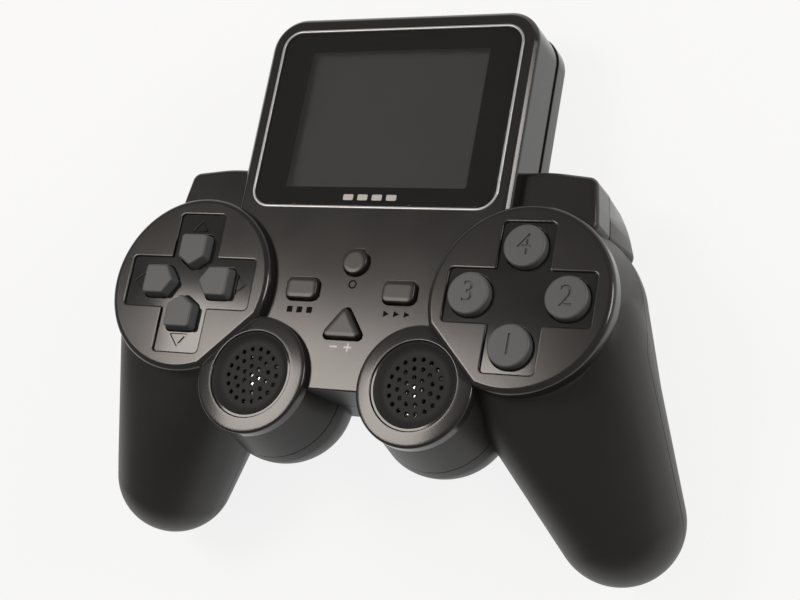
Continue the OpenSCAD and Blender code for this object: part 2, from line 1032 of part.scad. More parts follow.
module battery() {
    color("#c9ccd0")
        rest()
            translate([0, -battery_y, 0])
                slab(bay_floor, bay_floor + battery_t, round_rect(battery_w, battery_h, 2));
}

module battery_cover() {
    color(satin_black)
        rest()
            difference() {
                cover_rails(0, hump_top);
                for (k = [0:4])
                    translate([
                        -groove_size.x / 2,
                        groove_start + groove_pitch * k - cover_end,
                        -body_depth - cut
                    ])
                        cube(groove_size + [0, 0, cut]);
            }
}

// Places of the three spring contacts in the bay's upper end wall
module battery_contact_places() {
    for (k = [-1:1])
        translate([k * contact_pitch, bay_h / 2 + bay_wall / 2 - battery_y, -bay_floor - battery_t / 2])
            children();
}

module battery_contacts() {
    color("gold")
        rest()
            battery_contact_places()
                cube(contact_size, center = true);
}

// Flat lead from the contacts up to the back of the main board
module battery_lead() {
    near = bay_h / 2 + bay_wall - battery_y + (contact_size.y - bay_wall) / 2;
    low = -bay_floor - battery_t / 2;
    color("#8c2f28")
        rest()
            bar_along_x(0, 2 * contact_pitch + contact_size.x, [
                [near, low - contact_size.z / 2],
                [near + lead_t, low - contact_size.z / 2],
                [near + lead_t, low + lead_rise],
                [-board_top - lead_bend, -board_back],
                [-board_top - lead_hold, -board_back],
                [-board_top - lead_hold, -board_back - lead_t],
                [-board_top - lead_bend - lead_t / 2, -board_back - lead_t],
                [near, low + lead_rise - lead_bend]
            ]);
}

module port_board() {
    color(board_green)
        rest()
            translate([-port_board_half, port_board_top - port_board_h, -port_board_depth - port_board_t])
                cube([2 * port_board_half, port_board_h, port_board_t]);
}

// Flat ribbon from the port board down behind the display to the main board
module port_ribbon() {
    high = port_board_top - port_board_h;
    color("#d8d8d8")
        rest()
            bar_along_x(-ribbon_x, ribbon_w, [
                [high + ribbon_hold, ribbon_t - port_board_depth],
                [high - 1, ribbon_t - port_board_depth],
                [-board_top - 0.6, -board_back],
                [-board_top - board_hold, -board_back],
                [-board_top - board_hold, -board_back - ribbon_t],
                [-board_top - 0.6, -board_back - ribbon_t],
                [high - 1, -port_board_depth],
                [high + ribbon_hold, -port_board_depth]
            ]);
}

module charging_port() {
    skin = 2 * port_skin;
    port_round = port_h / 2 - 0.1;
    color(steel)
        rest()
            translate([port_x, block_top - port_len, -port_board_depth + port_h / 2])
                rotate([-90, 0, 0])
                    difference() {
                        linear_extrude(port_len)
                            polygon(round_rect(port_w, port_h, port_round));
                        translate([0, 0, 1])
                            linear_extrude(port_len)
                                polygon(round_rect(port_w - skin, port_h - skin, port_round - port_skin));
                    }
}

// Box of the slide switch on the port board, with the slot that its slider runs in
module power_switch() {
    color("#bfc1c4")
        rest()
            translate([-port_x - switch_size.x / 2, port_board_top - switch_size.y, -port_board_depth])
                difference() {
                    cube(switch_size);
                    translate([
                        (switch_size.x - slider_size.x - switch_travel) / 2 - 0.3,
                        1,
                        (switch_size.z - slider_size.z) / 2 - 0.3
                    ])
                        cube([slider_size.x + switch_travel + 0.6, switch_size.y, slider_size.z + 0.6]);
                }
}

module power_slider() {
    color(key_grey)
        rest()
            translate([
                -port_x - switch_travel / 2 - slider_size.x / 2,
                block_top + slider_proud - slider_size.y,
                (switch_size.z - slider_size.z) / 2 - port_board_depth
            ])
                cube(slider_size);
}

// A pan-head screw with its head below and its shank upwards
module screw(shank) {
    cylinder(r = screw_r, h = shank);
    translate([0, 0, -screw_head_t])
        cylinder(r = screw_head_r, h = screw_head_t);
}

module board_screws() {
    color(steel)
        rest()
            both_sides()
                for (place = board_posts)
                    translate([place.x, -place.y, -board_back])
                        screw(board_t + 4);
}

module case_screws() {
    color(steel)
        rest()
            both_sides()
                for (place = case_posts)
                    translate([place.x, place.y, -place.z - screw_seat])
                        screw(screw_seat + screw_bite - 1);
}

front_shell();
rear_shell();
screen_trim();
screen_lens();
lcd_panel();
lcd_flex();
main_board();
processor();
memory_chip();
dpad_membrane();
action_membrane();
centre_membrane();
dpad_up();
dpad_right();
dpad_down();
dpad_left();
action_1();
action_2();
action_3();
action_4();
select_button();
start_button();
reset_button();
volume_button();
grille_left();
grille_right();
speaker_left();
speaker_right();
battery();
battery_cover();
battery_contacts();
battery_lead();
port_board();
port_ribbon();
charging_port();
power_switch();
power_slider();
board_screws();
case_screws();
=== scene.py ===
import json
import math

import bmesh
import bpy
from mathutils import Matrix, Vector


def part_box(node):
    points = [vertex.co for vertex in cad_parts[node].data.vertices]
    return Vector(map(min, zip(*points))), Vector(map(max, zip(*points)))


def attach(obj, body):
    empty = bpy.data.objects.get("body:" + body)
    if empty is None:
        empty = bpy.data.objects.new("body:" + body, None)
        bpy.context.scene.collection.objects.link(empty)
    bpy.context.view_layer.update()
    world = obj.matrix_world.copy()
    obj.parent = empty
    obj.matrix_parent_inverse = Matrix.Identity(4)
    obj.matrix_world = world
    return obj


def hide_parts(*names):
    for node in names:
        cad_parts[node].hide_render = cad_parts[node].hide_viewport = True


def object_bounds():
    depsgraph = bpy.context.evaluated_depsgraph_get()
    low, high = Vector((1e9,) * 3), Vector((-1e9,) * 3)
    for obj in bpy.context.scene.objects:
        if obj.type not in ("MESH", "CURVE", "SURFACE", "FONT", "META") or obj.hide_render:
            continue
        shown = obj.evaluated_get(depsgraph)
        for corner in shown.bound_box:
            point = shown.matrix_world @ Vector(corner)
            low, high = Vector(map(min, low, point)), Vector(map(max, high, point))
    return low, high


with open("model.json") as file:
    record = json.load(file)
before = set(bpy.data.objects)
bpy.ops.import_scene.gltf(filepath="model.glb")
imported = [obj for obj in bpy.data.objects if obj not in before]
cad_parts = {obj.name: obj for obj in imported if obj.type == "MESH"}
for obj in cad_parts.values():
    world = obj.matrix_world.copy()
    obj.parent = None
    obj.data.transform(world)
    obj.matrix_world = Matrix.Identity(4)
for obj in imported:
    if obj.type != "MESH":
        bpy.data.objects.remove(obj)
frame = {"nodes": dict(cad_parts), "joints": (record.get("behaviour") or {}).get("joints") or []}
cad_box = [list(corner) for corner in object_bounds()]

# Face frame: the console lies on its back, so its face leans. Pieces are drawn in millimetres with
# X to the right, Y up the face and Z out of it. Y is 0 at the lower trim line of the screen and
# Z is 0 on the centre plate, and face_to_frame takes a piece to the shared frame in metres.
mm = 0.001
lens_y = 23.95
lens_t = 1.5
press = next(joint for joint in frame["joints"] if joint["name"] == "reset_button_press")
face_out = -Vector(press["axis"]).normalized()
face_right = Vector((1, 0, 0))
face_up = face_out.cross(face_right)
face_turn = Matrix((face_right, face_up, face_out)).transposed()
lens_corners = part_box("screen_lens")
lens_middle = (lens_corners[0] + lens_corners[1]) / 2
face_origin = lens_middle - face_turn @ Vector((0, lens_y, -lens_t / 2)) * mm
face_to_frame = Matrix.Translation(face_origin) @ face_turn.to_4x4() @ Matrix.Scale(mm, 4)


# Camera: a short telephoto held above the console's right side, tipped a little to the left.
# It is a plain 36 mm sensor with no shift, and it stays in focus all over.
camera_place = Vector((181.2, -125.3, 326.2))
camera_aim = Vector((8.1, -19.8, -10.0))
camera_roll = math.radians(10.6)
camera_lens = 73.36
camera_near = 0.01
sensor_width = 36


def linked(name, data):
    """A new object in the scene."""
    made = bpy.data.objects.new(name, data)
    bpy.context.scene.collection.objects.link(made)
    return made


def looking(place, aim, roll=0):
    """A turn that looks from a place to an aim in the face frame, with its top up the face."""
    back = (place - aim).normalized()
    side = Vector((0, 1, 0)).cross(back).normalized()
    turn = Matrix((side, back.cross(side), back)).transposed() @ Matrix.Rotation(roll, 3, "Z")
    return Matrix.Translation(face_to_frame @ place) @ (face_turn @ turn).to_4x4()


camera_data = bpy.data.cameras.new("camera")
camera_data.lens = camera_lens
camera_data.sensor_width = sensor_width
camera_data.sensor_fit = "HORIZONTAL"
camera_data.clip_start = camera_near
camera = linked("camera", camera_data)
camera.matrix_world = looking(camera_place, camera_aim, camera_roll)
bpy.context.scene.camera = camera
bpy.context.scene.view_settings.view_transform = "Standard"


# Studio: a pale matt floor that shows white to the camera and in gloss, and keeps the soft shadow.
# One large softbox lights the face from its left, and its edge is what fades over the plate.
# A smaller one fills the right-hand walls, and a dim even room fills the rest.
floor_size = 6.0
floor_colour = "#f4f3f1"
floor_white = 0.85
room_colour = "#f2f0ee"
room_strength = 0.32
# Each softbox: the way to it from the camera's aim, its distance, its size, its watts and its colour
softboxes = [
    ("softbox_left", (-0.48, 0.06, 0.875), 632, (226, 216), 1.4, "#fff6ee"),
    ("softbox_right", (0.85, 0.25, 0.45), 700, (200, 300), 1.9, "#fffaf6"),
]


def linear(colour):
    """An sRGB hex colour as linear red, green, blue and alpha."""
    parts = [int(colour[i:i + 2], 16) / 255 for i in (1, 3, 5)]
    return [c / 12.92 if c <= 0.04045 else ((c + 0.055) / 1.055) ** 2.4 for c in parts] + [1]


def wire(node, values=None, links=None):
    """Sets a node's sockets to values, or links them to other sockets."""
    for name, value in (values or {}).items():
        node.inputs[name].default_value = value
    for name, source in (links or {}).items():
        node.id_data.links.new(source, node.inputs[name])
    return node


def add(tree, kind, values=None, links=None, **settings):
    """Adds a node to a tree, with its settings, socket values and links."""
    node = tree.nodes.new("ShaderNode" + kind)
    for name, value in settings.items():
        setattr(node, name, value)
    return wire(node, values, links)


def new_finish(name):
    """A new material, its node tree and its shader."""
    material = bpy.data.materials.new(name)
    material.use_nodes = True
    return material, material.node_tree, material.node_tree.nodes["Principled BSDF"]


bpy.ops.mesh.primitive_plane_add(size=floor_size)
floor = bpy.context.object
floor.name = "floor"

# Matt paper: nearly white to the camera and in mirrors, with the shadow left in it
floor_paint, tree, _ = new_finish("matt_paper")
tree.nodes.clear()
ray = add(tree, "LightPath")
seen = ray.outputs["Is Camera Ray"]
for kind in ("Is Glossy Ray", "Is Transmission Ray"):
    seen = add(tree, "Math", links={0: seen, 1: ray.outputs[kind]}, operation="MAXIMUM").outputs[0]
share = add(tree, "Math", {1: floor_white}, {0: seen}, operation="MULTIPLY")
paper = add(tree, "BsdfDiffuse", {"Color": linear(floor_colour)})
white = add(tree, "Emission", {"Strength": 1.0})
mixed = add(tree, "MixShader", links={0: share.outputs[0], 1: paper.outputs[0], 2: white.outputs[0]})
add(tree, "OutputMaterial", links={"Surface": mixed.outputs[0]})
floor.data.materials.append(floor_paint)

room = bpy.data.worlds.new("room")
room.use_nodes = True
room_light = {"Color": linear(room_colour), "Strength": room_strength}
wire(room.node_tree.nodes["Background"], room_light)
bpy.context.scene.world = room

for name, direction, distance, size, power, colour in softboxes:
    lamp_data = bpy.data.lights.new(name, "AREA")
    lamp_data.shape = "RECTANGLE"
    lamp_data.size = size[0] * mm
    lamp_data.size_y = size[1] * mm
    lamp_data.energy = power
    lamp_data.color = linear(colour)[:3]
    lamp = linked(name, lamp_data)
    lamp.matrix_world = looking(camera_aim + Vector(direction).normalized() * distance, camera_aim)


# Case: two moulded shells of satin black ABS that meet at a seam half way down. Each side has a
# raised disc, a speaker pot, a tapered grip and a shoulder, and the screen block stands above the
# centre plate. The mould is smoother on the face than on the walls below the discs.
wall = 2.0
lap = 0.5
hair = 0.01
parting = 14.0
seam_gap = 0.12
body_depth = 26.0
block_w = 73.6
block_top = 51.8
block_foot = -13.8
block_depth = 20.5
block_corner = 8.5
block_round = 1.2
block_flat = 0.55
rear_lip = 0.4
lip_edge = 0.35
rear_round = 2.0
plate_half = 33.0
plate_bottom = 45.9
plate_round = 0.5
hump_top = 14.0
hump_round = 1.1
disc_place = Vector((43.9, -21.8, 0))
disc_r = 22.5
disc_rise = 3.0
disc_round = 1.5
disc_lip = 1.6
lip_round = 0.25
disc_sink = 0.1
disc_neck = 21.9
disc_inside = 0.5
disc_chord = 20.43
skirt_r = 24.2
skirt_knee = -parting - 2.0
skirt_steps = 12
heel_r = 18.0
pot_place = Vector((21.6, -43.8, 0))
pot_r = 14.6
pot_rise = 2.3
pot_lip = 11.0
pot_slope = (4, 6)
pot_edge = 14.0
pot_round = 0.67
pot_collar = 1.0
pot_neck = 14.1
pot_inside = 0.3
lobe_r = 17.0
lobe_depth = 16.7
shoulder_front = 4.5
shoulder_depth = 27.5
shoulder_edge = 1.6
shoulder_back = 2.0
shoulder_root = 30.0
shoulder_foot = -9.8
shoulder_heel = 6.0
shoulder_crest = (44.0, 11.9, 40.0)
shoulder_turn = 2.6
front_flank = ((57.1, -1.5, shoulder_turn), (56.4, 3.6, 30.0), (55.2, 10.6, shoulder_turn))
rear_flank = ((59.8, -2.2, shoulder_turn), (57.3, 4.8, 30.0), (54.0, 10.4, shoulder_turn))
shoulder_flare = 11.0
flare_steps = 6
flare_lip = 0.04
grip_root = Vector((45.9, -27.35, -13.3))
grip_tip = Vector((61.8, -62.8, -36.6))
grip_root_r = 23.65
grip_tip_r = 15.4
grip_ceiling = -1.0
grip_flat = 0.34
grip_steps = 8
blend_low = -22.0
blend_high = -8.0
blend_reach = 25.0
blend_shrink = 0.998
grip_run = grip_tip - grip_root
grip_slope = grip_run.z / grip_run.y
seam_ahead = 0.4
seam_x = 37.2
seam_y = -grip_root.y + (parting + grip_root.z + seam_ahead) / grip_slope
far = 200.0
flat_angle = math.radians(0.02)
sliver = 0.003
crease = math.radians(32)
level_facing = 0.99
cloud_size = 14.0
shine_spread = 0.03
grain_strength = 0.15
along_x = Matrix(((0, 0, 1, 0), (1, 0, 0, 0), (0, 1, 0, 0), (0, 0, 0, 1)))


def arc(x, y, radius, start, end, steps=8):
    """Points along an arc in a plane, with its angles in degrees."""
    angles = [math.radians(start + (end - start) * i / steps) for i in range(steps + 1)]
    return [(x + radius * math.cos(a), y + radius * math.sin(a)) for a in angles]


def rounded(corners, steps=6):
    """A polygon, counter-clockwise, with each corner x, y, radius drawn as an arc."""
    points = []
    for i, (x, y, radius) in enumerate(corners):
        corner = Vector((x, y))
        back = (Vector(corners[i - 1][:2]) - corner).normalized()
        ahead = (Vector(corners[(i + 1) % len(corners)][:2]) - corner).normalized()
        half = back.angle(ahead) / 2
        middle = corner + (back + ahead).normalized() * radius / math.sin(half)
        start = corner + back * radius / math.tan(half) - middle
        turn = (math.pi - 2 * half) * (1 if back.x * ahead.y < back.y * ahead.x else -1)
        points += [middle + Matrix.Rotation(turn * k / steps, 2) @ start for k in range(steps + 1)]
    return points


def round_rect(size, corner, grow=0, up=0, steps=8):
    """A rectangle with round corners, grown all round, with its middle moved up."""
    x, y = (length / 2 + grow for length in size)
    corners = [(*spot, corner + grow) for spot in ((x, -y), (x, y), (-x, y), (-x, -y))]
    return [(a, b + up) for a, b in rounded(corners, steps)]


def draw(bm, face, inward, out):
    """Draws an end face in and moves it out, which leaves a sloping ring behind it."""
    bmesh.ops.inset_region(bm, faces=[face], thickness=inward, depth=out, use_even_offset=True)


def round_over(bm, face, radius, steps=5, flat=0, hollow=False):
    """Rounds the edge of an end face, or hollows it, with a flat half way if one is given."""
    for k in range(steps):
        a, b = (math.pi / 2 * n / steps for n in (k, k + 1))
        inward = radius * (math.cos(a) - math.cos(b))
        out = radius * (math.sin(b) - math.sin(a))
        draw(bm, face, *((out, inward) if hollow else (inward, out)))
        if flat and 2 * k + 2 == steps:
            draw(bm, face, flat, flat)


def ended_prism(outline, low, high, low_round=0, high_round=0, flat=0):
    """A closed prism with rounded edges where asked for, and its upper and lower ends."""
    bm = bmesh.new()
    bottom = bm.faces.new([bm.verts.new((x, y, low + low_round)) for x, y in outline])
    drawn = bmesh.ops.extrude_face_region(bm, geom=[bottom], use_keep_orig=True)["geom"]
    top = next(part for part in drawn if isinstance(part, bmesh.types.BMFace))
    bmesh.ops.translate(bm, verts=top.verts, vec=(0, 0, high - high_round - flat - low - low_round))
    bmesh.ops.recalc_face_normals(bm, faces=bm.faces)
    if high_round:
        round_over(bm, top, high_round, 6, flat)
    if low_round:
        round_over(bm, bottom, low_round)
    for face, level in ((top, high), (bottom, low)):
        for vert in face.verts:
            vert.co.z = level
    return bm, top, bottom


def prism(*shape):
    """The same closed prism on its own."""
    return ended_prism(*shape)[0]


def turned(profile, steps=128):
    """A closed turned solid: a profile from axis to axis, spun about Z."""
    bm = bmesh.new()
    verts = [bm.verts.new((x, 0, z)) for x, z in profile]
    edges = [bm.edges.new(pair) for pair in zip(verts, verts[1:])]
    whole = {"cent": (0, 0, 0), "axis": (0, 0, 1), "angle": math.tau, "use_merge": True}
    bmesh.ops.spin(bm, geom=verts + edges, steps=steps, **whole)
    bmesh.ops.remove_doubles(bm, verts=bm.verts, dist=1e-4)
    bmesh.ops.recalc_face_normals(bm, faces=bm.faces)
    return bm


def carried(bm, matrix):
    """A shape carried by a matrix."""
    bmesh.ops.transform(bm, verts=bm.verts, matrix=matrix)
    return bm


def moved(bm, vec):
    """A shape moved to its place."""
    bmesh.ops.translate(bm, verts=bm.verts, vec=vec)
    return bm


def mirrored(bm):
    """A right-hand shape with its left-hand twin."""
    bmesh.ops.mirror(bm, geom=bm.verts[:] + bm.edges[:] + bm.faces[:], merge_dist=-1, axis="X")
    bmesh.ops.recalc_face_normals(bm, faces=bm.faces)
    return bm


def solid(shape):
    """A closed shape as an object in the face frame; an object stays as it is."""
    if isinstance(shape, bpy.types.Object):
        return shape
    mesh = bpy.data.meshes.new("tool")
    shape.to_mesh(mesh)
    shape.free()
    return linked("tool", mesh)


def carve(piece, *tools, operation="DIFFERENCE"):
    """Cuts closed shapes from a piece, or does what the operation says, and uses them up."""
    piece, *tools = map(solid, (piece, *tools))
    for tool in tools:
        step = piece.modifiers.new(operation, "BOOLEAN")
        step.operation = operation
        step.solver = "MANIFOLD"
        step.object = tool
    graph = bpy.context.evaluated_depsgraph_get()
    mesh = bpy.data.meshes.new_from_object(piece.evaluated_get(graph))
    piece.modifiers.clear()
    piece.data = mesh
    for tool in tools:
        bpy.data.objects.remove(tool)
    return piece


def joined(piece, *shapes):
    """A piece with other closed shapes that overlap it joined to it."""
    return carve(piece, *shapes, operation="UNION")


def flattened(piece):
    """Clears the slivers and scraps that cutting leaves, so that flats shade as one."""
    bm = bmesh.new()
    bm.from_mesh(piece.data)
    bmesh.ops.dissolve_degenerate(bm, dist=sliver, edges=bm.edges)
    bmesh.ops.dissolve_limit(bm, angle_limit=flat_angle, verts=bm.verts, edges=bm.edges)
    bm.to_mesh(piece.data)
    bm.free()


def place(piece, name, body, slot, material, *nodes, special=()):
    """Takes a piece to the shared frame, gives it its finishes and hangs it on its body."""
    piece = solid(piece)
    piece.name = name
    mesh = piece.data
    mesh.name = name
    mesh.materials.clear()
    mesh.materials.append(material)
    for number, (finish, test) in enumerate(special, 1):
        mesh.materials.append(finish)
        for face in mesh.polygons:
            if test(face.center, face.normal):
                face.material_index = number
    mesh.transform(face_to_frame)
    mesh.shade_smooth()
    mesh.set_sharp_from_angle(angle=crease)
    even = piece.modifiers.new("even_normals", "WEIGHTED_NORMAL")
    even.keep_sharp = True
    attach(piece, body)
    if nodes:
        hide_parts(*nodes)


def spine_outline(i):
    """The screen block, moved in by i, down to where the discs cover it."""
    half, top, corner = block_w / 2 - i, block_top - i, block_corner - i
    bend = arc(half - corner, top - corner, corner, 0, 90, 14)
    return [(half, block_foot)] + bend + [(-x, y) for x, y in reversed(bend)] + [(-half, block_foot)]


def box_outline(half, low, high):
    """A box about the middle plane."""
    return [(half, low), (half, high), (-half, high), (-half, low)]


def shoulder_outline(i, flank):
    """The right shoulder, moved in by i; its flank runs out to a heel over the skirt."""
    crest_x, top, crown = shoulder_crest
    heel_x = flank[0][0] - shoulder_heel
    inner = [(shoulder_root, shoulder_foot, shoulder_turn), (heel_x, shoulder_foot, shoulder_turn)]
    *side, (tip_x, tip_y, tip_r) = flank
    outer = [(x - i, y, radius) for x, y, radius in side] + [(tip_x - i, tip_y - i, tip_r)]
    upper = [(crest_x, top - i, crown), (shoulder_root, top - lap - i, shoulder_turn)]
    return rounded(inner + outer + upper)


def shoulder(i, soft):
    """Both halves of a shoulder, moved in by i: upright before the seam, swelling behind it."""
    slim = shoulder_outline(i, front_flank)
    wide = shoulder_outline(i, rear_flank)
    front = prism(slim, -parting - lap, -shoulder_front - i, 0, soft * shoulder_edge)
    rear, top, _ = ended_prism(wide, i - shoulder_depth, -parting - shoulder_flare, soft * shoulder_back)
    ring = wide
    for k in range(1, flare_steps + 1):
        draw(rear, top, 0, shoulder_flare / flare_steps)
        share = 1 - (1 - flare_lip) * k / flare_steps
        last = ring
        ring = [a.lerp(b, share) for a, b in zip(slim, wide)]
        for vert in top.verts:
            near = min(range(len(last)), key=lambda n: (last[n] - vert.co.xy).length)
            vert.co.xy = ring[near]
    return [rear, front]


def disc_top():
    """The raised face of a disc, with a straight edge towards the speaker pot."""
    span = math.degrees(math.acos(disc_chord / disc_r))
    pot_side = pot_place - disc_place
    turn = math.degrees(math.atan2(pot_side.y, pot_side.x))
    edge = arc(0, 0, disc_r, turn + span, turn + 360 - span, 132)
    bm, top, bottom = ended_prism(edge, lip_round - disc_lip, disc_rise - disc_round)
    round_over(bm, top, disc_round, 8)
    round_over(bm, bottom, lip_round, 3)
    return bm


def disc_skirt(i):
    """The case below a disc, moved in by i: it flares out to the seam and rounds off at the back."""
    top = disc_inside if i else disc_sink - disc_lip
    neck = disc_r - i if i else disc_neck
    drop = body_depth + skirt_knee
    side = [(0, top), (neck, top), (disc_neck - i, -disc_lip), (skirt_r - i, -parting)]
    heel = [
        (heel_r - i + (skirt_r - heel_r) * math.cos(a), skirt_knee - (drop - i) * math.sin(a))
        for a in (math.pi / 2 * k / skirt_steps for k in range(skirt_steps + 1))
    ]
    return turned(side + heel + [(0, i - body_depth)])


def pot(i):
    """A speaker pot, moved in by i: a ring with a collar, on a lobe with a round back."""
    ring = [(0, pot_inside), (pot_r - i, pot_inside), (pot_neck - i, -pot_collar)]
    if not i:
        start, end = (math.radians(angle) for angle in pot_slope)
        first, last = (90 - angle for angle in pot_slope)
        sweep = (pot_edge - pot_lip) / (math.sin(end) - math.sin(start))
        hub_z = pot_rise - sweep * math.cos(start)
        edge_z = hub_z + (sweep - pot_round) * math.cos(end)
        ring = [(0, pot_rise)]
        ring += arc(pot_lip - sweep * math.sin(start), hub_z, sweep, first, last, 6)
        ring += arc(pot_edge - pot_round * math.sin(end), edge_z, pot_round, last, 0, 7)[1:]
        ring += arc(pot_r - lip_round, lip_round - pot_collar, lip_round, 0, -90, 3)
        ring += [(pot_neck, -pot_collar - hair)]
    return turned(ring + arc(0, -lobe_depth, lobe_r - i, 0, -90, 24))


def grip(i):
    """A grip, moved in by i: a tapered bar with a round tip, flatter in front at its root."""
    taper = math.degrees(math.asin((grip_root_r - grip_tip_r) / grip_run.length))
    root = arc(0, 0, grip_root_r - i, -90, taper, 24)
    tip = arc(0, grip_run.length, grip_tip_r - i, taper, 90, 24)
    bar = [Vector(root[-1]).lerp(tip[0], k / grip_steps) for k in range(1, grip_steps)]
    lean = grip_run.to_track_quat("Z", "Y").to_matrix().to_4x4()
    bm = carried(turned(root + bar + tip), Matrix.Translation(grip_root) @ lean)
    axis = grip_run.normalized()
    out = (Vector((0, 0, 1)) - axis * axis.z).normalized()
    for vert in bm.verts:
        reach = vert.co - grip_root
        share = min(max(reach.dot(axis) / grip_run.length, 0), 1)
        height = max(reach.dot(out), 0)
        across = (reach - axis * reach.dot(axis)).length
        if height:
            vert.co -= out * height * (height / across) ** 3 * grip_flat * (1 - share)
    whole = bm.verts[:] + bm.edges[:] + bm.faces[:]
    level = {"plane_co": (0, 0, grip_ceiling - i), "plane_no": (0, 0, 1), "clear_outer": True}
    bmesh.ops.bisect_plane(bm, geom=whole, **level)
    bmesh.ops.holes_fill(bm, edges=bm.edges)
    return bm


def grip_blend():
    """The swell from a disc's skirt into the grip, as a skin stretched over both."""
    skirt = disc_skirt(0)
    bar = grip(0)
    reach = grip_run.normalized() * blend_reach
    spots = [vert.co + disc_place for vert in skirt.verts if blend_low < vert.co.z < blend_high]
    spots += [vert.co for vert in bar.verts if (vert.co - grip_root).dot(reach) < reach.length_squared]
    bm = bmesh.new()
    for spot in spots:
        bm.verts.new(spot)
    bmesh.ops.convex_hull(bm, input=bm.verts)
    bmesh.ops.delete(bm, geom=[vert for vert in bm.verts if not vert.link_faces], context="VERTS")
    middle = sum((vert.co for vert in bm.verts), Vector()) / len(bm.verts)
    bmesh.ops.scale(bm, vec=[blend_shrink] * 3, space=Matrix.Translation(-middle), verts=bm.verts)
    bmesh.ops.recalc_face_normals(bm, faces=bm.faces)
    skirt.free()
    bar.free()
    return bm


def case_solid(i):
    """The whole case, moved in by i, as one solid; only its outside has rounded edges."""
    soft = 0 if i else 1
    plate = box_outline(plate_half - i, i - plate_bottom, lens_y)
    hump = box_outline(plate_half - i, i - plate_bottom, hump_top - i)
    blocks = (
        (spine_outline(i), -parting - lap, -i, (0, block_round, block_flat)),
        (plate, -parting - lap, -i, (0, plate_round, 0)),
        (spine_outline(i - rear_lip), i - block_depth, -parting, (rear_round, lip_edge, 0)),
        (hump, i - body_depth, -parting, (hump_round, 0, 0)),
    )
    middle = [prism(*shape, *(soft * size for size in edges)) for *shape, edges in blocks]
    right = [moved(disc_skirt(i), disc_place), moved(pot(i), pot_place), grip(i), *shoulder(i, soft)]
    if soft:
        right = [moved(disc_top(), disc_place), grip_blend(), *right]
    return joined(*middle, *(mirrored(shape) for shape in right))


def front_zone(shift):
    """The space in front of the seam, which slopes down the middle of each grip."""
    middle = prism(box_outline(far, -far, far), shift - parting, far)
    low = shift - parting - grip_slope * (far - seam_y)
    side = [(-seam_y, shift - parting), (-seam_y, lap - parting), (-far, lap - parting), (-far, low)]
    return joined(middle, mirrored(carried(prism(side, seam_x, far), along_x)))


def grained(name, colour, pale, roughness, grain, ior=1.5, metallic=0.0, relief=0.02):
    """A finish with clouds of a paler tone, uneven shine and a grain in millimetres."""
    material, tree, shader = new_finish(name)
    where = add(tree, "TexCoord").outputs["Object"]
    clouds = {"Scale": 1 / (cloud_size * mm), "Detail": 3.0}
    cloud = add(tree, "TexNoise", clouds, {"Vector": where}).outputs["Fac"]
    tones = {"Color1": linear(colour), "Color2": linear(pale)}
    tone = add(tree, "MixRGB", tones, {"Fac": cloud}).outputs["Color"]
    ends = {"To Min": roughness - shine_spread, "To Max": roughness + shine_spread}
    shine = add(tree, "MapRange", ends, {"Value": cloud}).outputs["Result"]
    fine = add(tree, "TexNoise", {"Scale": 1 / (grain * mm), "Detail": 2.0}, {"Vector": where}).outputs["Fac"]
    swell = {"Strength": grain_strength, "Distance": relief * mm}
    bump = add(tree, "Bump", swell, {"Height": fine}).outputs["Normal"]
    sources = {"Base Color": tone, "Roughness": shine, "Normal": bump}
    wire(shader, {"Metallic": metallic, "IOR": ior}, sources)
    return material


# Satin ABS: a warm black that mirrors the softbox as a wide soft sheen over the face
case_abs = grained("satin_abs", "#1f1c1b", "#252221", 0.17, 0.3, ior=1.53)
# Polished ABS: the glossier floor of the cross recesses, and the bright edge of the grilles
polished_abs = grained("polished_abs", "#1b1a1a", "#201f1f", 0.09, 0.3, ior=1.53, relief=0.005)
# Textured ABS: the duller grips and walls, where light spreads into broad shading
textured_abs = grained("textured_abs", "#211e1d", "#272423", 0.42, 0.4, ior=1.46)
# Matt ABS: the flat black of the pierced grilles
matt_abs = grained("matt_abs", "#1c1b1b", "#222121", 0.6, 0.3, ior=1.4)
front_case = carve(case_solid(0), front_zone(seam_gap), operation="INTERSECT")
carve(front_case, case_solid(wall))
rear_case = carve(case_solid(0), case_solid(wall), front_zone(-seam_gap))


# Openings in the front shell: the lens pocket and window, a cross-shaped recess on each disc, and a
# hole for every key, button and grille. The mould leaves each rim a little rounded.
rim = 0.22
key_rim = 0.15
pocket_depth = 1.6
screen_wall = 3.2
lens_size = (65.2, 46.9)
lens_corner = 4.4
trim_w = 0.8
trim_play = 0.1
view_size = (48.96, 36.72)
view_corner = 0.6
window_edge = 2.0
recess_arm = 13.0
recess_reach = 18.0
recess_floor = 2.4
recess_corner = 1.1
recess_elbow = 0.5
elbow_least = 0.1
recess_bevel = 0.2
recess_slope = math.tan(math.radians(8))
key_play = 0.3
key_w = 8.0
key_len = 9.0
key_tip = 2.6
key_place = 7.9
key_corner = 1.2
tip_grow = 1.2
cap_r = 5.1
cap_place = 11.8
bar_size = (8.3, 5.3)
bar_corner = 1.6
bar_place = Vector((13, -21.3, 0))
reset_r = 3.2
reset_place = Vector((0, -14.1, 0))
volume_size = (11.5, 8.1)
volume_corner = 1.2
volume_place = Vector((0, -30.2, 0))
grille_r = 10.6
grille_play = 0.1
arrow_size = (5.4, 3.3)
arrow_corner = 0.3
arrow_place = 14.5
arrow_line = 0.5
arrow_depth = 0.3
arrow_edge = 0.1
left_disc = Vector((-disc_place.x, disc_place.y, 0))
quarter_turns = [math.pi / 2 * k for k in range(4)]
through = -wall - lap
above = 20.0


def turned_to(bm, middle, reach, turn):
    """A shape moved out from a disc's axis and round it, counter-clockwise from the top."""
    spin = Matrix.Translation(middle) @ Matrix.Rotation(turn, 4, "Z")
    return carried(bm, spin @ Matrix.Translation((0, reach, 0)))


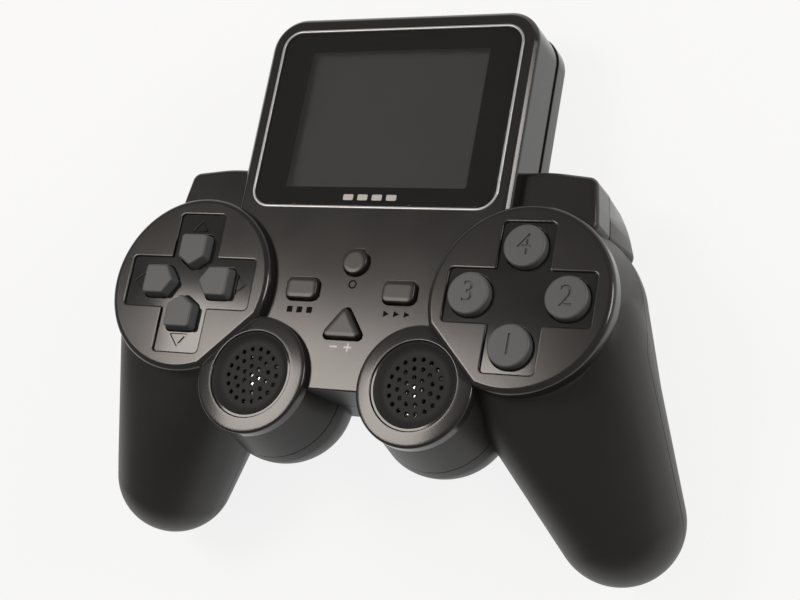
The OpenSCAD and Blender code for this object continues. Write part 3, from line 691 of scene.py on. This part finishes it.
def gathered(shapes):
    """One object of several closed shapes that don't touch each other."""
    whole = bmesh.new()
    for shape in shapes:
        mesh = bpy.data.meshes.new("part")
        shape.to_mesh(mesh)
        shape.free()
        whole.from_mesh(mesh)
        bpy.data.meshes.remove(mesh)
    return solid(whole)


def opening(outline, top, floor, edge=rim, steps=4, bevel=0):
    """A cutter down from a face: its outline is grown by the rim, then drawn in round the rim."""
    bm, _, bottom = ended_prism(outline, top, top + above)
    if bevel:
        draw(bm, bottom, bevel, bevel * recess_slope)
        top -= bevel * recess_slope
    round_over(bm, bottom, edge, steps, hollow=True)
    draw(bm, bottom, 0, top - edge - floor)
    return bm


def round_opening(radius, top, floor, steps=64, edge=rim):
    """A round cutter down from a face, with the same rounded rim."""
    lip = arc(radius + edge, top - edge, edge, 90, 180, 4)
    return turned([(0, top + above), (radius + edge, top + above), *lip, (radius, floor), (0, floor)], steps)


def four_fold(side):
    """The corners of one side, turned round the origin to all four sides; each keeps its radius."""
    corners = []
    for _ in range(4):
        corners += side
        side = [(-y, x, *radius) for x, y, *radius in side]
    return corners


def cross_outline(g):
    """The cross recess, grown by g."""
    arm = recess_arm / 2 + g
    reach = recess_reach + g
    corner = recess_corner + g
    elbow = max(recess_elbow - g, elbow_least)
    return rounded(four_fold([(reach, -arm, corner), (reach, arm, corner), (arm, arm, elbow)]))


def key_outline(g):
    """A direction key, grown by g: a house that points to the middle of the disc."""
    x = key_w / 2 + g
    back = key_len / 2 + g
    cheek = key_tip - key_len / 2 - g / 2
    corners = [(0, -key_len / 2 - tip_grow * g), (x, cheek), (x, back), (-x, back), (-x, cheek)]
    return rounded([(*corner, key_corner + g) for corner in corners])


def triangle_outline(size, corner, g):
    """A triangle that points up, about the middle of its inner circle and grown by g."""
    half, height = size[0] / 2, size[1]
    inner = half * height / (half + math.hypot(half, height))
    grow = 1 + g / inner
    corners = [(-half, -inner), (half, -inner), (0, height - inner)]
    return rounded([(x * grow, y * grow, corner * grow) for x, y in corners])


def volume_outline(g):
    """The volume button, grown by g."""
    return triangle_outline(volume_size, volume_corner, g)


def lens_outline(g):
    """The lens, grown by g, about the middle of the screen."""
    return round_rect(lens_size, lens_corner, g, lens_y, 12)


def view_outline(g):
    """The picture, grown by g."""
    return round_rect([length + 2 * g for length in view_size], view_corner, up=lens_y)


bar_outline = round_rect(bar_size, bar_corner, key_play + rim)
cross = opening(cross_outline(rim + recess_bevel), disc_rise, recess_floor, rim, 4, recess_bevel)
grille_hole = round_opening(grille_r + grille_play, pot_rise, -lap, 96)
face_cuts = [
    prism(lens_outline(trim_w + trim_play), -pocket_depth, above),
    prism(view_outline(window_edge), -screen_wall - lap, above),
    mirrored(moved(cross, disc_place)),
    mirrored(moved(grille_hole, pot_place)),
    mirrored(moved(opening(bar_outline, 0, through), bar_place)),
]
centre_holes = [
    moved(round_opening(reset_r + key_play, 0, through), reset_place),
    moved(opening(volume_outline(key_play + rim), 0, through), volume_place),
]
key_holes = []
cap_holes = []
arrows = []
islands = []
for turn in quarter_turns:
    key_hole = opening(key_outline(key_play + key_rim), recess_floor, -lap, key_rim)
    key_holes.append(turned_to(key_hole, left_disc, key_place, turn))
    cap_hole = round_opening(cap_r + key_play, recess_floor, -lap, 48, key_rim)
    cap_holes.append(turned_to(cap_hole, disc_place, cap_place, turn))
    arrow_outline = triangle_outline(arrow_size, arrow_corner, arrow_edge)
    arrow = opening(arrow_outline, recess_floor, recess_floor - arrow_depth, arrow_edge, 3)
    arrows.append(turned_to(arrow, left_disc, arrow_place, turn))
    island = prism(triangle_outline(arrow_size, arrow_corner, -arrow_line), -lap, above + lap)
    islands.append(turned_to(island, left_disc, arrow_place, turn))
backing = prism(lens_outline(screen_wall), -screen_wall, lap - wall)
joined(front_case, backing)
carve(front_case, *face_cuts)
carve(front_case, gathered(centre_holes), gathered(key_holes), gathered(cap_holes))
carve(front_case, carve(gathered(arrows), gathered(islands)))


# Inside of the front shell: posts that carry the main board, bosses for the case screws, and two
# mouths in the top wall for the charging port and the power slider.
board_posts = [(28, -6), (6, -40)]
board_post_r = 2.5
board_depth = 8.0
board_back = 9.6
board_bore = 5.0
grip_post = Vector((57, -50))
grip_seam = parting - (seam_y + grip_post.y) * grip_slope
# Each case post: its place, where its boss starts behind the plate, and the depth of the seam there
case_posts = [(26, 47.8, 2.7, parting), (46.5, 4.5, 5.0, parting), (*grip_post, 5.5, grip_seam)]
boss_r = 2.2
bore_r = 1.1
bore_depth = 7.0
port_x = 12.0
port_z = -10.4
port_size = (8.9, 3.2)
end_flat = 0.1
slider_z = -10.2
slider_slot = (5.7, 2.4)
slot_corner = 0.5
mouth_play = 0.3
walls_top = -4.0
upright = Matrix.Rotation(math.radians(-90), 4, "X")


def peg(radius, low, high, x=0, y=0):
    """A plain round peg that stands at x and y."""
    bm = bmesh.new()
    size = {"radius1": radius, "radius2": radius, "depth": high - low}
    middle = Matrix.Translation((x, y, (low + high) / 2))
    bmesh.ops.create_cone(bm, cap_ends=True, segments=32, matrix=middle, **size)
    return bm


def stood(bm, x, z):
    """A shape drawn along Z, turned to run up the face and moved to its place in the top wall."""
    return carried(bm, Matrix.Translation((x, 0, z)) @ upright)


def port_outline(g):
    """The charging port, round at both ends, grown by g."""
    return round_rect(port_size, port_size[1] / 2 - end_flat, g)


def paired(shapes):
    """One object of several right-hand shapes and their left-hand twins."""
    return gathered([mirrored(shape) for shape in shapes])


posts = [peg(board_post_r, -board_depth, lap - wall, x, y) for x, y in board_posts]
posts += [peg(boss_r, seam_gap - deep, -near, x, y) for x, y, near, deep in case_posts]
bores = [peg(bore_r, -board_depth - lap, board_bore - board_depth, x, y) for x, y in board_posts]
bores += [peg(bore_r, -deep - lap, bore_depth - deep, x, y) for x, y, _, deep in case_posts]
slot_outline = round_rect([length + 2 * rim for length in slider_slot], slot_corner)
mouths = [
    stood(opening(port_outline(mouth_play + rim), block_top, block_top + through), port_x, port_z),
    stood(opening(slot_outline, block_top, block_top + through), -port_x, slider_z),
]
joined(front_case, carve(paired(posts), case_solid(lap), operation="INTERSECT"))
carve(front_case, paired(bores), gathered(mouths))
flattened(front_case)


def off_axis(spot, middle):
    """How far a point lies from a right-hand axis or from its left-hand twin."""
    return math.hypot(abs(spot.x) - middle.x, spot.y - middle.y)


def on_recess(spot, normal):
    """Tells the level floors of the cross recesses and their grooves."""
    level = recess_floor - arrow_depth - hair < spot.z < recess_floor + hair
    return level and normal.z > level_facing and off_axis(spot, disc_place) < disc_r


def on_walls(spot, normal):
    """Tells a shell's walls below the discs and pots."""
    return spot.z < -disc_lip and (spot.y < walls_top or off_axis(spot, disc_place) < skirt_r + lap)


wall_finish = (textured_abs, on_walls)
front_finishes = [(polished_abs, on_recess), wall_finish]
place(front_case, "front_case", "case", "case_plastic", case_abs, "front_shell", special=front_finishes)


# Back of the rear shell: posts and wells for the case screws, the battery bay with rails for its
# cover, slots for the contacts, and small flats where the console rests on its grips and top edge.
post_r = 3.4
well_r = 1.95
screw_seat = 2.4
battery_y = -7.5
bay_size = (53.6, 34.6)
bay_wall = 1.2
bay_corner = 0.5
bay_floor = 18.2
frame_half = 32.0
frame_low = -28.5
frame_near = 22.7
cover_half = 29.5
cover_low = -27.0
cover_lip = 0.7
cover_edge = 0.2
cover_tongue = 0.8
cover_play = 0.3
cover_near = 24.5
contact_pitch = 4.0
contact_slot = (2.2, 2.4, 3.6)
contact_place = Vector((0, 10.4, -21.05))


def bay_outline(g):
    """The battery bay, grown by g."""
    return round_rect(bay_size, bay_corner, g, battery_y)


def cover_steps(g, top):
    """The cover's stepped section, grown by g: a plate in the back and a wider tongue behind it."""
    step = cover_lip - body_depth
    plate = box_outline(cover_half + g, cover_low - g, top)
    tongue = box_outline(cover_half + cover_tongue + g, cover_low - g, top)
    return [
        prism(plate, -body_depth - g, step + g + cover_edge, 0 if g else cover_edge),
        prism(tongue, step - g, g - cover_near),
    ]


bay_frame = prism(box_outline(frame_half, frame_low, hump_top - lap), lap - body_depth, -frame_near)
bay_walls = prism(bay_outline(bay_wall), wall - body_depth, bay_wall - bay_floor)
bay = prism(bay_outline(0), -body_depth - lap, -bay_floor)
slots = []
for k in (-1, 0, 1):
    slot = bmesh.new()
    bmesh.ops.create_cube(slot, size=1, matrix=Matrix.Diagonal((*contact_slot, 1)))
    slots.append(moved(slot, contact_place + Vector((k * contact_pitch, 0, 0))))
rear_posts = [peg(post_r, -far, -deep - seam_gap, x, y) for x, y, _, deep in case_posts]
wells = [peg(well_r, -far, -deep - screw_seat, x, y) for x, y, _, deep in case_posts]
shanks = [peg(bore_r, -far, lap - deep, x, y) for x, y, _, deep in case_posts]
ground = prism(box_outline(far, -far, far), -far, cad_box[0][2] / mm)
ground = carried(ground, face_to_frame.inverted() @ Matrix.Scale(mm, 4))
joined(rear_case, bay_frame, bay_walls, carve(paired(rear_posts), case_solid(lap), operation="INTERSECT"))
carve(rear_case, bay, *cover_steps(cover_play, hump_top + lap))
carve(rear_case, paired(wells), paired(shanks), gathered(slots), ground)
flattened(rear_case)
place(rear_case, "rear_case", "case", "case_plastic", case_abs, "rear_shell", special=[wall_finish])


# Screen: a clear acrylic lens with a black printed border on its back, set in a bright ring.
# The display module sits behind the window, switched off, so it shows as a dull grey pane.
trim_proud = 0.1
trim_edge = 0.3
lens_edge = 0.08
ink_t = 0.06
ink_bite = 0.03
gasket_t = 0.1
gasket_top = -0.02
acrylic_ior = 1.49
smear_size = 9.0
smear_shine = (0.02, 0.07)

# Silver foil: a hot-stamped line that flashes where its edges turn to the light
silver = grained("silver_foil", "#b9babb", "#c8c9ca", 0.3, 0.4, metallic=0.6)
trim = prism(lens_outline(trim_w), -lens_t, trim_proud, 0, trim_edge)
trim_hole = opening(lens_outline(trim_play / 2 + trim_edge), trim_proud, -lens_t - lap, trim_edge)
place(carve(trim, trim_hole), "trim_ring", "case", "bright_trim", silver, "screen_trim")

# Clear acrylic: a faint gloss over the screen, a little uneven where it was wiped
acrylic, tree, clear = new_finish("clear_acrylic")
where = add(tree, "TexCoord").outputs["Object"]
haze = add(tree, "TexNoise", {"Scale": 1 / (smear_size * mm)}, {"Vector": where}).outputs["Fac"]
smear = add(tree, "MapRange", dict(zip(("To Min", "To Max"), smear_shine)), {"Value": haze})
wire(clear, {"Transmission Weight": 1.0, "IOR": acrylic_ior}, {"Roughness": smear.outputs["Result"]})
lens = prism(lens_outline(-gasket_t - hair), -lens_t, 0, 0, lens_edge)
place(lens, "lens", "case", "lens_acrylic", acrylic, "screen_lens")

# Black ink: the dead black border behind the lens, with no shine of its own
black_ink = grained("black_ink", "#252423", "#2a2928", 0.8, 0.5, ior=1.1)
border = prism(lens_outline(0), -lens_t - ink_t, gasket_top)
lens_seat = prism(lens_outline(-gasket_t), ink_bite - lens_t, above)
border_hole = prism(view_outline(0), -above, above)
place(carve(border, lens_seat, border_hole), "lens_border", "case", "lens_acrylic", black_ink)


def coat(material, *names):
    """Gives carried-over nodes a finish."""
    for name in names:
        mesh = frame["nodes"][name].data
        mesh.materials.clear()
        mesh.materials.append(material)


# Display glass: the grey of a display that is off, a shade paler than its border
coat(grained("display_glass", "#525252", "#585959", 0.25, 0.3), "lcd_panel")


# Direction keys: four separate keys of grey-black ABS shaped like houses that point to the middle.
# Each has drafted sides, a flat top with soft edges, and a flange below that holds it in the case.
key_top = 5.1
key_straight = 2.3
key_draft = 0.35
key_edge = 0.45
flange_reach = 0.9
flange_t = 1.0
flange_top = 0.4
stem_r = 2.0
stem_end = 4.8

# Key ABS: a flat dull grey that stands out from the darker, shinier discs
key_abs = grained("key_abs", "#545556", "#5b5c5d", 0.44, 0.25, ior=1.46)
for direction, turn in zip(("up", "left", "down", "right"), quarter_turns):
    cap, top, _ = ended_prism(key_outline(0), flange_top - lap, key_straight)
    draw(cap, top, key_draft, key_top - key_edge - key_straight)
    round_over(cap, top, key_edge)
    flange = prism(key_outline(flange_reach), flange_top - flange_t, flange_top)
    shapes = [cap, flange, peg(stem_r, -stem_end, 0)]
    key = joined(*(turned_to(shape, left_disc, key_place, turn) for shape in shapes))
    name = "dpad_" + direction
    place(key, "key_" + direction, name + "_body", "key_plastic", key_abs, name)


# Action buttons: four round caps of the same ABS in the right-hand cross, each with a plain number
# sunk into its top, and with the same flange and stem as the keys.
cap_top = 4.5
cap_edge = 0.5
numeral_h = 5.2
numeral_share = 0.72
numeral_depth = 0.35


def numeral(text):
    """A plain number as a closed solid about the origin, from below the face to well above it."""
    curve = bpy.data.curves.new("numeral", "FONT")
    curve.body = text
    curve.size = numeral_h / numeral_share
    curve.align_x = "CENTER"
    curve.align_y = "CENTER"
    curve.extrude = numeral_depth * 2
    holder = linked("numeral", curve)
    mesh = bpy.data.meshes.new_from_object(holder.evaluated_get(bpy.context.evaluated_depsgraph_get()))
    bpy.data.objects.remove(holder)
    bm = bmesh.new()
    bm.from_mesh(mesh)
    bpy.data.meshes.remove(mesh)
    bmesh.ops.remove_doubles(bm, verts=bm.verts, dist=1e-4)
    bmesh.ops.recalc_face_normals(bm, faces=bm.faces)
    return bm


flange_r = cap_r + flange_reach
flange_low = flange_top - flange_t
cap_profile = [(0, -stem_end), (stem_r, -stem_end), (stem_r, flange_low)]
cap_profile += [(flange_r, flange_low), (flange_r, flange_top), (cap_r, flange_top)]
cap_profile += arc(cap_r - cap_edge, cap_top - cap_edge, cap_edge, 0, 90, 6) + [(0, cap_top)]
for number, turn in zip("4312", quarter_turns):
    cap = turned_to(turned(cap_profile, 72), disc_place, cap_place, turn)
    middle = disc_place + Matrix.Rotation(turn, 3, "Z") @ Vector((0, cap_place, cap_top + numeral_depth))
    cap = carve(cap, moved(numeral(number), middle))
    name = "action_" + number
    place(cap, "cap_" + number, name + "_body", "key_plastic", key_abs, name)


# Centre buttons: two bars, a round reset button and a triangular volume rocker on the plate.
# They are moulded like the keys, of a darker ABS, with rounded tops that swell a little.
centre_top = 1.5
centre_edge = 0.4
crown_step = 0.28
crown_slopes = (0.16, 0.1, 0.05)
flange_gap = 0.1
centre_stem_end = 5.2

# Button ABS: as dark as the case and a little duller, so that only the rounded edges catch light
button_abs = grained("button_abs", "#242221", "#2a2827", 0.32, 0.3, ior=1.5)


def centre_button(name, outline, flange_outline, middle):
    """A centre button: its cap through the plate, its flange below and its stem."""
    crown_foot = centre_top - crown_step * sum(crown_slopes)
    cap, top, _ = ended_prism(outline, through, crown_foot, 0, centre_edge)
    for slope in crown_slopes:
        draw(cap, top, crown_step, crown_step * slope)
    flange = prism(flange_outline, -wall - flange_gap - flange_t, -wall - flange_gap)
    shapes = [cap, flange, peg(stem_r, -centre_stem_end, -wall)]
    button = joined(*(moved(shape, middle) for shape in shapes))
    place(button, name + "_cap", name + "_body", "key_plastic", button_abs, name)


def ring_outline(radius, steps=64):
    """A full circle of points."""
    return arc(0, 0, radius, 0, 360 * (1 - 1 / steps), steps - 1)


bar_cap = round_rect(bar_size, bar_corner)
bar_flange = round_rect([length + 2 * flange_reach for length in bar_size], bar_corner)
for name, side in (("select_button", -1), ("start_button", 1)):
    centre_button(name, bar_cap, bar_flange, Vector((side * bar_place.x, bar_place.y, 0)))
centre_button("reset_button", ring_outline(reset_r), ring_outline(reset_r + flange_reach), reset_place)
centre_button("volume_button", volume_outline(0), volume_outline(flange_reach), volume_place)


# Speaker grilles: a thin shallow dish of the case's ABS in each pot, pierced by rings of small holes
# whose rims are countersunk. A turned-down edge at the dish catches the light as a thin bright line.
grille_top = 2.0
rim_w = 0.5
rim_fall = 0.04
dish_r = 7.6
dish_floor = 1.0
dish_crown = 0.5
dish_t = 0.8
bowl_steps = 6
grille_back = -1.2
grille_seat_r = 8.6
grille_flange_r = 11.7
grille_flange_top = 0.2
hole_r = 0.5
hole_edge = 0.18
hole_turn = 162
ring_pitch = 2.2

bowl_w = grille_r - rim_w - dish_r
bowl_h = grille_top - dish_floor
bowl_shares = [k / bowl_steps for k in range(bowl_steps)]
bowl = [(dish_r + bowl_w * share, dish_floor + bowl_h * share ** 2) for share in bowl_shares]
dish_profile = [(0, dish_floor + dish_crown - dish_t), (dish_r, dish_floor - dish_t)]
dish_profile += [(grille_seat_r, dish_floor - dish_t), (grille_seat_r, grille_back)]
dish_profile += [(grille_flange_r, grille_back), (grille_flange_r, grille_flange_top)]
dish_profile += [(grille_r, grille_flange_top), (grille_r, grille_top - rim_fall)]
dish_profile += [(grille_r - rim_w, grille_top), *bowl[::-1], (0, dish_floor + dish_crown)]
spots = [(0, 0)]
for ring in (1, 2, 3):
    spots += arc(0, 0, ring * ring_pitch, hole_turn, hole_turn + 360 - 60 / ring, 6 * ring - 1)


def on_rim(spot, normal):
    """Tells the turned-down edge of a grille."""
    return spot.z > grille_top - rim_fall and normal.z > level_facing


for side, name in ((1, "grille_right"), (-1, "grille_left")):
    holes = []
    for x, y in spots:
        level = dish_floor + dish_crown * (1 - math.hypot(x, y) / dish_r)
        holes.append(moved(round_opening(hole_r, level, grille_back - lap, 16, hole_edge), (x, y, 0)))
    dish = carve(turned(dish_profile), gathered(holes))
    dish.data.transform(Matrix.Translation((side * pot_place.x, pot_place.y, 0)))
    place(dish, name + "_dish", "case", "case_plastic", matt_abs, name, special=[(polished_abs, on_rim)])


# Speakers: a pressed steel basket with a magnet behind it, and a thin domed diaphragm of metallised
# film in front. The dome lies close behind the grille, so it glints through some of the holes.
speaker_r = 9.5
speaker_t = 4.6
speaker_lip = 1.0
magnet_r = 5.2
magnet_t = 2.3
magnet_edge = 0.4
basket_t = 1.8
roll_r = 1.1
dome_top = -0.65
dome_r = 18.0
roll_x = speaker_r - speaker_lip - roll_r
dome_span = math.asin((roll_x - roll_r) / dome_r)
roll_z = dome_top - dome_r * (1 - math.cos(dome_span))
magnet_back = grille_back - speaker_t

# Basket steel: a grey metal body. Metallised film: a paler, smoother dome for the glints.
basket_steel = grained("basket_steel", "#8f8e8b", "#a3a29f", 0.35, 0.3, metallic=1.0)
film = grained("metallised_film", "#b9b9b8", "#c6c6c5", 0.2, 0.4, metallic=1.0)
driver = [(0, magnet_back), (magnet_r - magnet_edge, magnet_back), (magnet_r, magnet_back + magnet_edge)]
driver += [(magnet_r, magnet_back + magnet_t), (speaker_r, grille_back - basket_t)]
driver += [(speaker_r, grille_back), (speaker_r - speaker_lip, grille_back)]
driver += arc(roll_x, roll_z, roll_r, 0, 180, 8)
driver += arc(0, dome_top - dome_r, dome_r, 90 - math.degrees(dome_span), 90, 12)[1:]


def on_film(spot, normal):
    """Tells the roll and the dome of a speaker."""
    return spot.z > roll_z and off_axis(spot, pot_place) < speaker_r - speaker_lip


for side, name in ((1, "speaker_right"), (-1, "speaker_left")):
    speaker = moved(turned(driver, 64), (side * pot_place.x, pot_place.y, 0))
    place(speaker, name + "_driver", "case", "speaker_metal", basket_steel, name, special=[(film, on_film)])


# Marks: thin printed signs in place of words. Dark squares and triangles stand under the bars, a ring
# under the round button, a pale minus and plus under the rocker, and plain silver bars on the lens.
print_t = 0.03
sign_size = 1.5
sign_corner = 0.15
sign_pitch = 2.7
sign_y = -26.5
circle_r = (1.1, 0.75)
circle_y = -19.6
minus_size = (2.0, 0.45)
minus_corner = 0.1
plus_size = (1.0, 0.22)
rocker_sign = (1.9, -35.2)
stripe_size = (2.7, 1.5)
stripe_corner = 0.3
stripe_pitch = 3.9
stripe_y = 2.6

# Dark ink: signs a shade blacker than the plate. Pale ink: the two light signs under the rocker.
dark_ink = grained("dark_ink", "#141312", "#1a1918", 0.85, 0.4, ior=1.15)
pale_ink = grained("pale_ink", "#dedcd8", "#e8e6e2", 0.6, 0.4)
# Silver ink: the bars below the picture, which shine a little like the trim
silver_ink = grained("silver_ink", "#a9a7a3", "#b8b5b1", 0.35, 0.4, metallic=0.4)


def printed(name, material, outlines, slot="case_plastic"):
    """A print of several outlines on the face."""
    prints = [prism(outline, -print_t / 2, print_t) for outline in outlines]
    place(gathered(prints), name, "case", slot, material)


def shifted(outline, x, y):
    """An outline moved to its place."""
    return [(a + x, b + y) for a, b in outline]


def plus_outline(arm, thin):
    """A plus sign with square ends."""
    return four_fold([(arm, -thin), (arm, thin), (thin, thin)])


half = sign_size / 2
square = round_rect((sign_size, sign_size), sign_corner, steps=3)
triangle = [(-half, -half), (half, 0), (-half, half)]
sign_steps = (-sign_pitch, 0, sign_pitch)
printed("select_sign", dark_ink, [shifted(square, x - bar_place.x, sign_y) for x in sign_steps])
printed("start_sign", dark_ink, [shifted(triangle, x + bar_place.x, sign_y) for x in sign_steps])
outer_r, inner_r = circle_r
half_rings = [arc(0, 0, outer_r, a, a + 180, 16) + arc(0, 0, inner_r, a + 180, a, 16) for a in (1, 181)]
printed("reset_sign", dark_ink, [shifted(ring, 0, circle_y) for ring in half_rings])
sign_x, rocker_y = rocker_sign
minus = shifted(round_rect(minus_size, minus_corner, steps=3), -sign_x, rocker_y)
plus = shifted(plus_outline(*plus_size), sign_x, rocker_y)
printed("volume_sign", pale_ink, [minus, plus])
stripe = round_rect(stripe_size, stripe_corner, steps=3)
stripes = [shifted(stripe, stripe_pitch * k, stripe_y) for k in (-1.5, -0.5, 0.5, 1.5)]
printed("lens_sign", silver_ink, stripes, "lens_acrylic")


# Battery cover: a sliding plate of the case's textured ABS with a tongue on each side that runs in the
# bay's rails. Five grooves give the thumb a hold.
groove_size = (16, 1.2)
groove_round = 0.55
groove_depth = 0.4
groove_pitch = 2.4
groove_start = -22.4
groove_count = 5
grooves = []
for k in range(groove_count):
    outline = round_rect(groove_size, groove_round, up=groove_start + groove_pitch * k)
    grooves.append(prism(outline, -body_depth - lap, groove_depth - body_depth))
cover = carve(joined(*cover_steps(0, hump_top)), gathered(grooves))
place(cover, "battery_lid", "battery_cover_body", "case_plastic", textured_abs, "battery_cover")


# Charging port and power slider in the top wall: a drawn steel shell with a plastic tongue inside it,
# and a small ribbed slider of the key plastic.
port_low = 44.5
port_skin = 0.35
port_base = 1.0
port_edge = 0.1
tongue_size = (6.6, 0.7)
tongue_corner = 0.2
tongue_ends = (45.0, 51.0)
slider_size = (2.4, 1.6)
slider_corner = 0.3
slider_edge = 0.2
slider_x = -13.25
slider_ends = (47.8, 53.0)
rib_size = (0.3, 3)
rib_corner = 0.1
rib_pitch = 0.6
rib_depth = 0.35

# Plated steel: a bright rim in the port's mouth, and the screw heads deep in their wells
steel = grained("plated_steel", "#b4b3b0", "#c2c1be", 0.28, 0.2, metallic=1.0)
shell = prism(port_outline(0), port_low, block_top, 0, port_edge)
mouth = prism(port_outline(-port_skin), port_low + port_base, block_top + lap)
port = carve(stood(shell, port_x, port_z), stood(mouth, port_x, port_z))
place(port, "port_shell", "case", "plated_steel", steel, "charging_port")
tongue = prism(round_rect(tongue_size, tongue_corner), *tongue_ends, 0, port_edge)
place(stood(tongue, port_x, port_z), "port_tongue", "case", "chip_epoxy", black_ink)
slider = prism(round_rect(slider_size, slider_corner), *slider_ends, 0, slider_edge)
ribs = []
for k in (-1, 0, 1):
    outline = shifted(round_rect(rib_size, rib_corner), rib_pitch * k, 0)
    ribs.append(stood(prism(outline, slider_ends[1] - rib_depth, slider_ends[1] + lap), slider_x, slider_z))
slider = carve(stood(slider, slider_x, slider_z), gathered(ribs))
place(slider, "slider_cap", "power_slider_body", "key_plastic", key_abs, "power_slider")


# Screws: pan heads of plated steel with a cross recess, six in the wells of the back and four that
# hold the main board to its posts.
screw_r = 0.95
screw_point = 0.4
head_r = 1.8
head_t = 1.3
head_round = 0.5
drive_size = (1.15, 0.25)
drive_depth = 0.7
bore_spare = 1.0
board_bite = 4.0


def screws(name, spots, shank):
    """A set of screws with their heads towards the back, each at x, y and the depth of its head."""
    profile = [(0, -head_t)] + arc(head_r - head_round, head_round - head_t, head_round, -90, 0, 4)
    profile += [(head_r, 0), (screw_r, 0), (screw_r, shank - screw_point)]
    profile += [(screw_r - screw_point, shank), (0, shank)]
    bodies = [moved(turned(profile, 32), (x, y, -z)) for x, y, z in spots]
    drive = (plus_outline(*drive_size), -head_t - lap, drive_depth - head_t)
    drives = [moved(prism(*drive), (x, y, -z)) for x, y, z in spots]
    made = carve(paired(bodies), paired(drives))
    place(made, name + "_set", "case", "plated_steel", steel, name)


seats = [(x, y, deep + screw_seat) for x, y, _, deep in case_posts]
screws("case_screws", seats, screw_seat + bore_depth - bore_spare)
screws("board_screws", [(x, y, board_back) for x, y in board_posts], board_back - board_depth + board_bite)


# Parts inside the case: circuit boards with etched tracks, chips, flat cables, rubber membranes,
# the power switch and the battery. They keep their drawn shapes and get the look of their materials.
track_pitch = 4.0
conductor_pitch = 1.0
wave_band = 0.314


def patterned(name, colours, texture, scale, limits, roughness):
    """A finish of two colours told apart by a texture: its kind, settings and output, and its scale."""
    kind, settings, output = texture
    material, tree, shader = new_finish(name)
    where = add(tree, "TexCoord").outputs["Object"]
    shape = add(tree, kind, {"Scale": scale}, {"Vector": where}, **settings).outputs[output]
    edge = add(tree, "MapRange", dict(zip(("From Min", "From Max"), limits)), {"Value": shape})
    tones = dict(zip(("Color1", "Color2"), map(linear, colours)))
    tone = add(tree, "MixRGB", tones, {"Fac": edge.outputs["Result"]})
    wire(shader, {"Roughness": roughness}, {"Base Color": tone.outputs["Color"]})
    return material


# Solder mask: deep green with paler tracks. Amber film: fine stripes of copper under the cables' skin.
tracks = ("TexVoronoi", {"feature": "DISTANCE_TO_EDGE"}, "Distance")
bands = ("TexWave", {"bands_direction": "X"}, "Fac")
greens = ("#3f8a57", "#1f5a38")
ambers = ("#8a5a24", "#c48a3c")
solder_mask = patterned("solder_mask", greens, tracks, 1 / (track_pitch * mm), (0.05, 0.09), 0.35)
amber_film = patterned("amber_film", ambers, bands, wave_band / (conductor_pitch * mm), (0.4, 0.6), 0.3)
coat(solder_mask, "main_board", "port_board")
coat(amber_film, "lcd_flex", "port_ribbon")
# Epoxy: dull black chips. Silicone: soft grey rubber. Foil: a cool silver wrap round the battery.
silicone = grained("silicone_rubber", "#8d8c88", "#9b9a96", 0.6, 0.4, ior=1.41)
coat(grained("black_epoxy", "#1a1a1b", "#232324", 0.45, 0.2), "processor", "memory_chip")
coat(silicone, "dpad_membrane", "action_membrane", "centre_membrane")
coat(grained("foil_wrap", "#9aa3ab", "#aab2b9", 0.4, 0.5), "battery")
# Brass: warm bright contacts. Insulation: the dull red of a lead. Nickel: the switch's grey can.
coat(grained("spring_brass", "#b8964e", "#c6a55d", 0.3, 0.2, metallic=1.0), "battery_contacts")
coat(grained("lead_insulation", "#8c2f28", "#9a3a32", 0.45, 0.3), "battery_lead")
coat(grained("nickel_steel", "#aeadaa", "#bdbcb9", 0.32, 0.2, metallic=1.0), "power_switch")
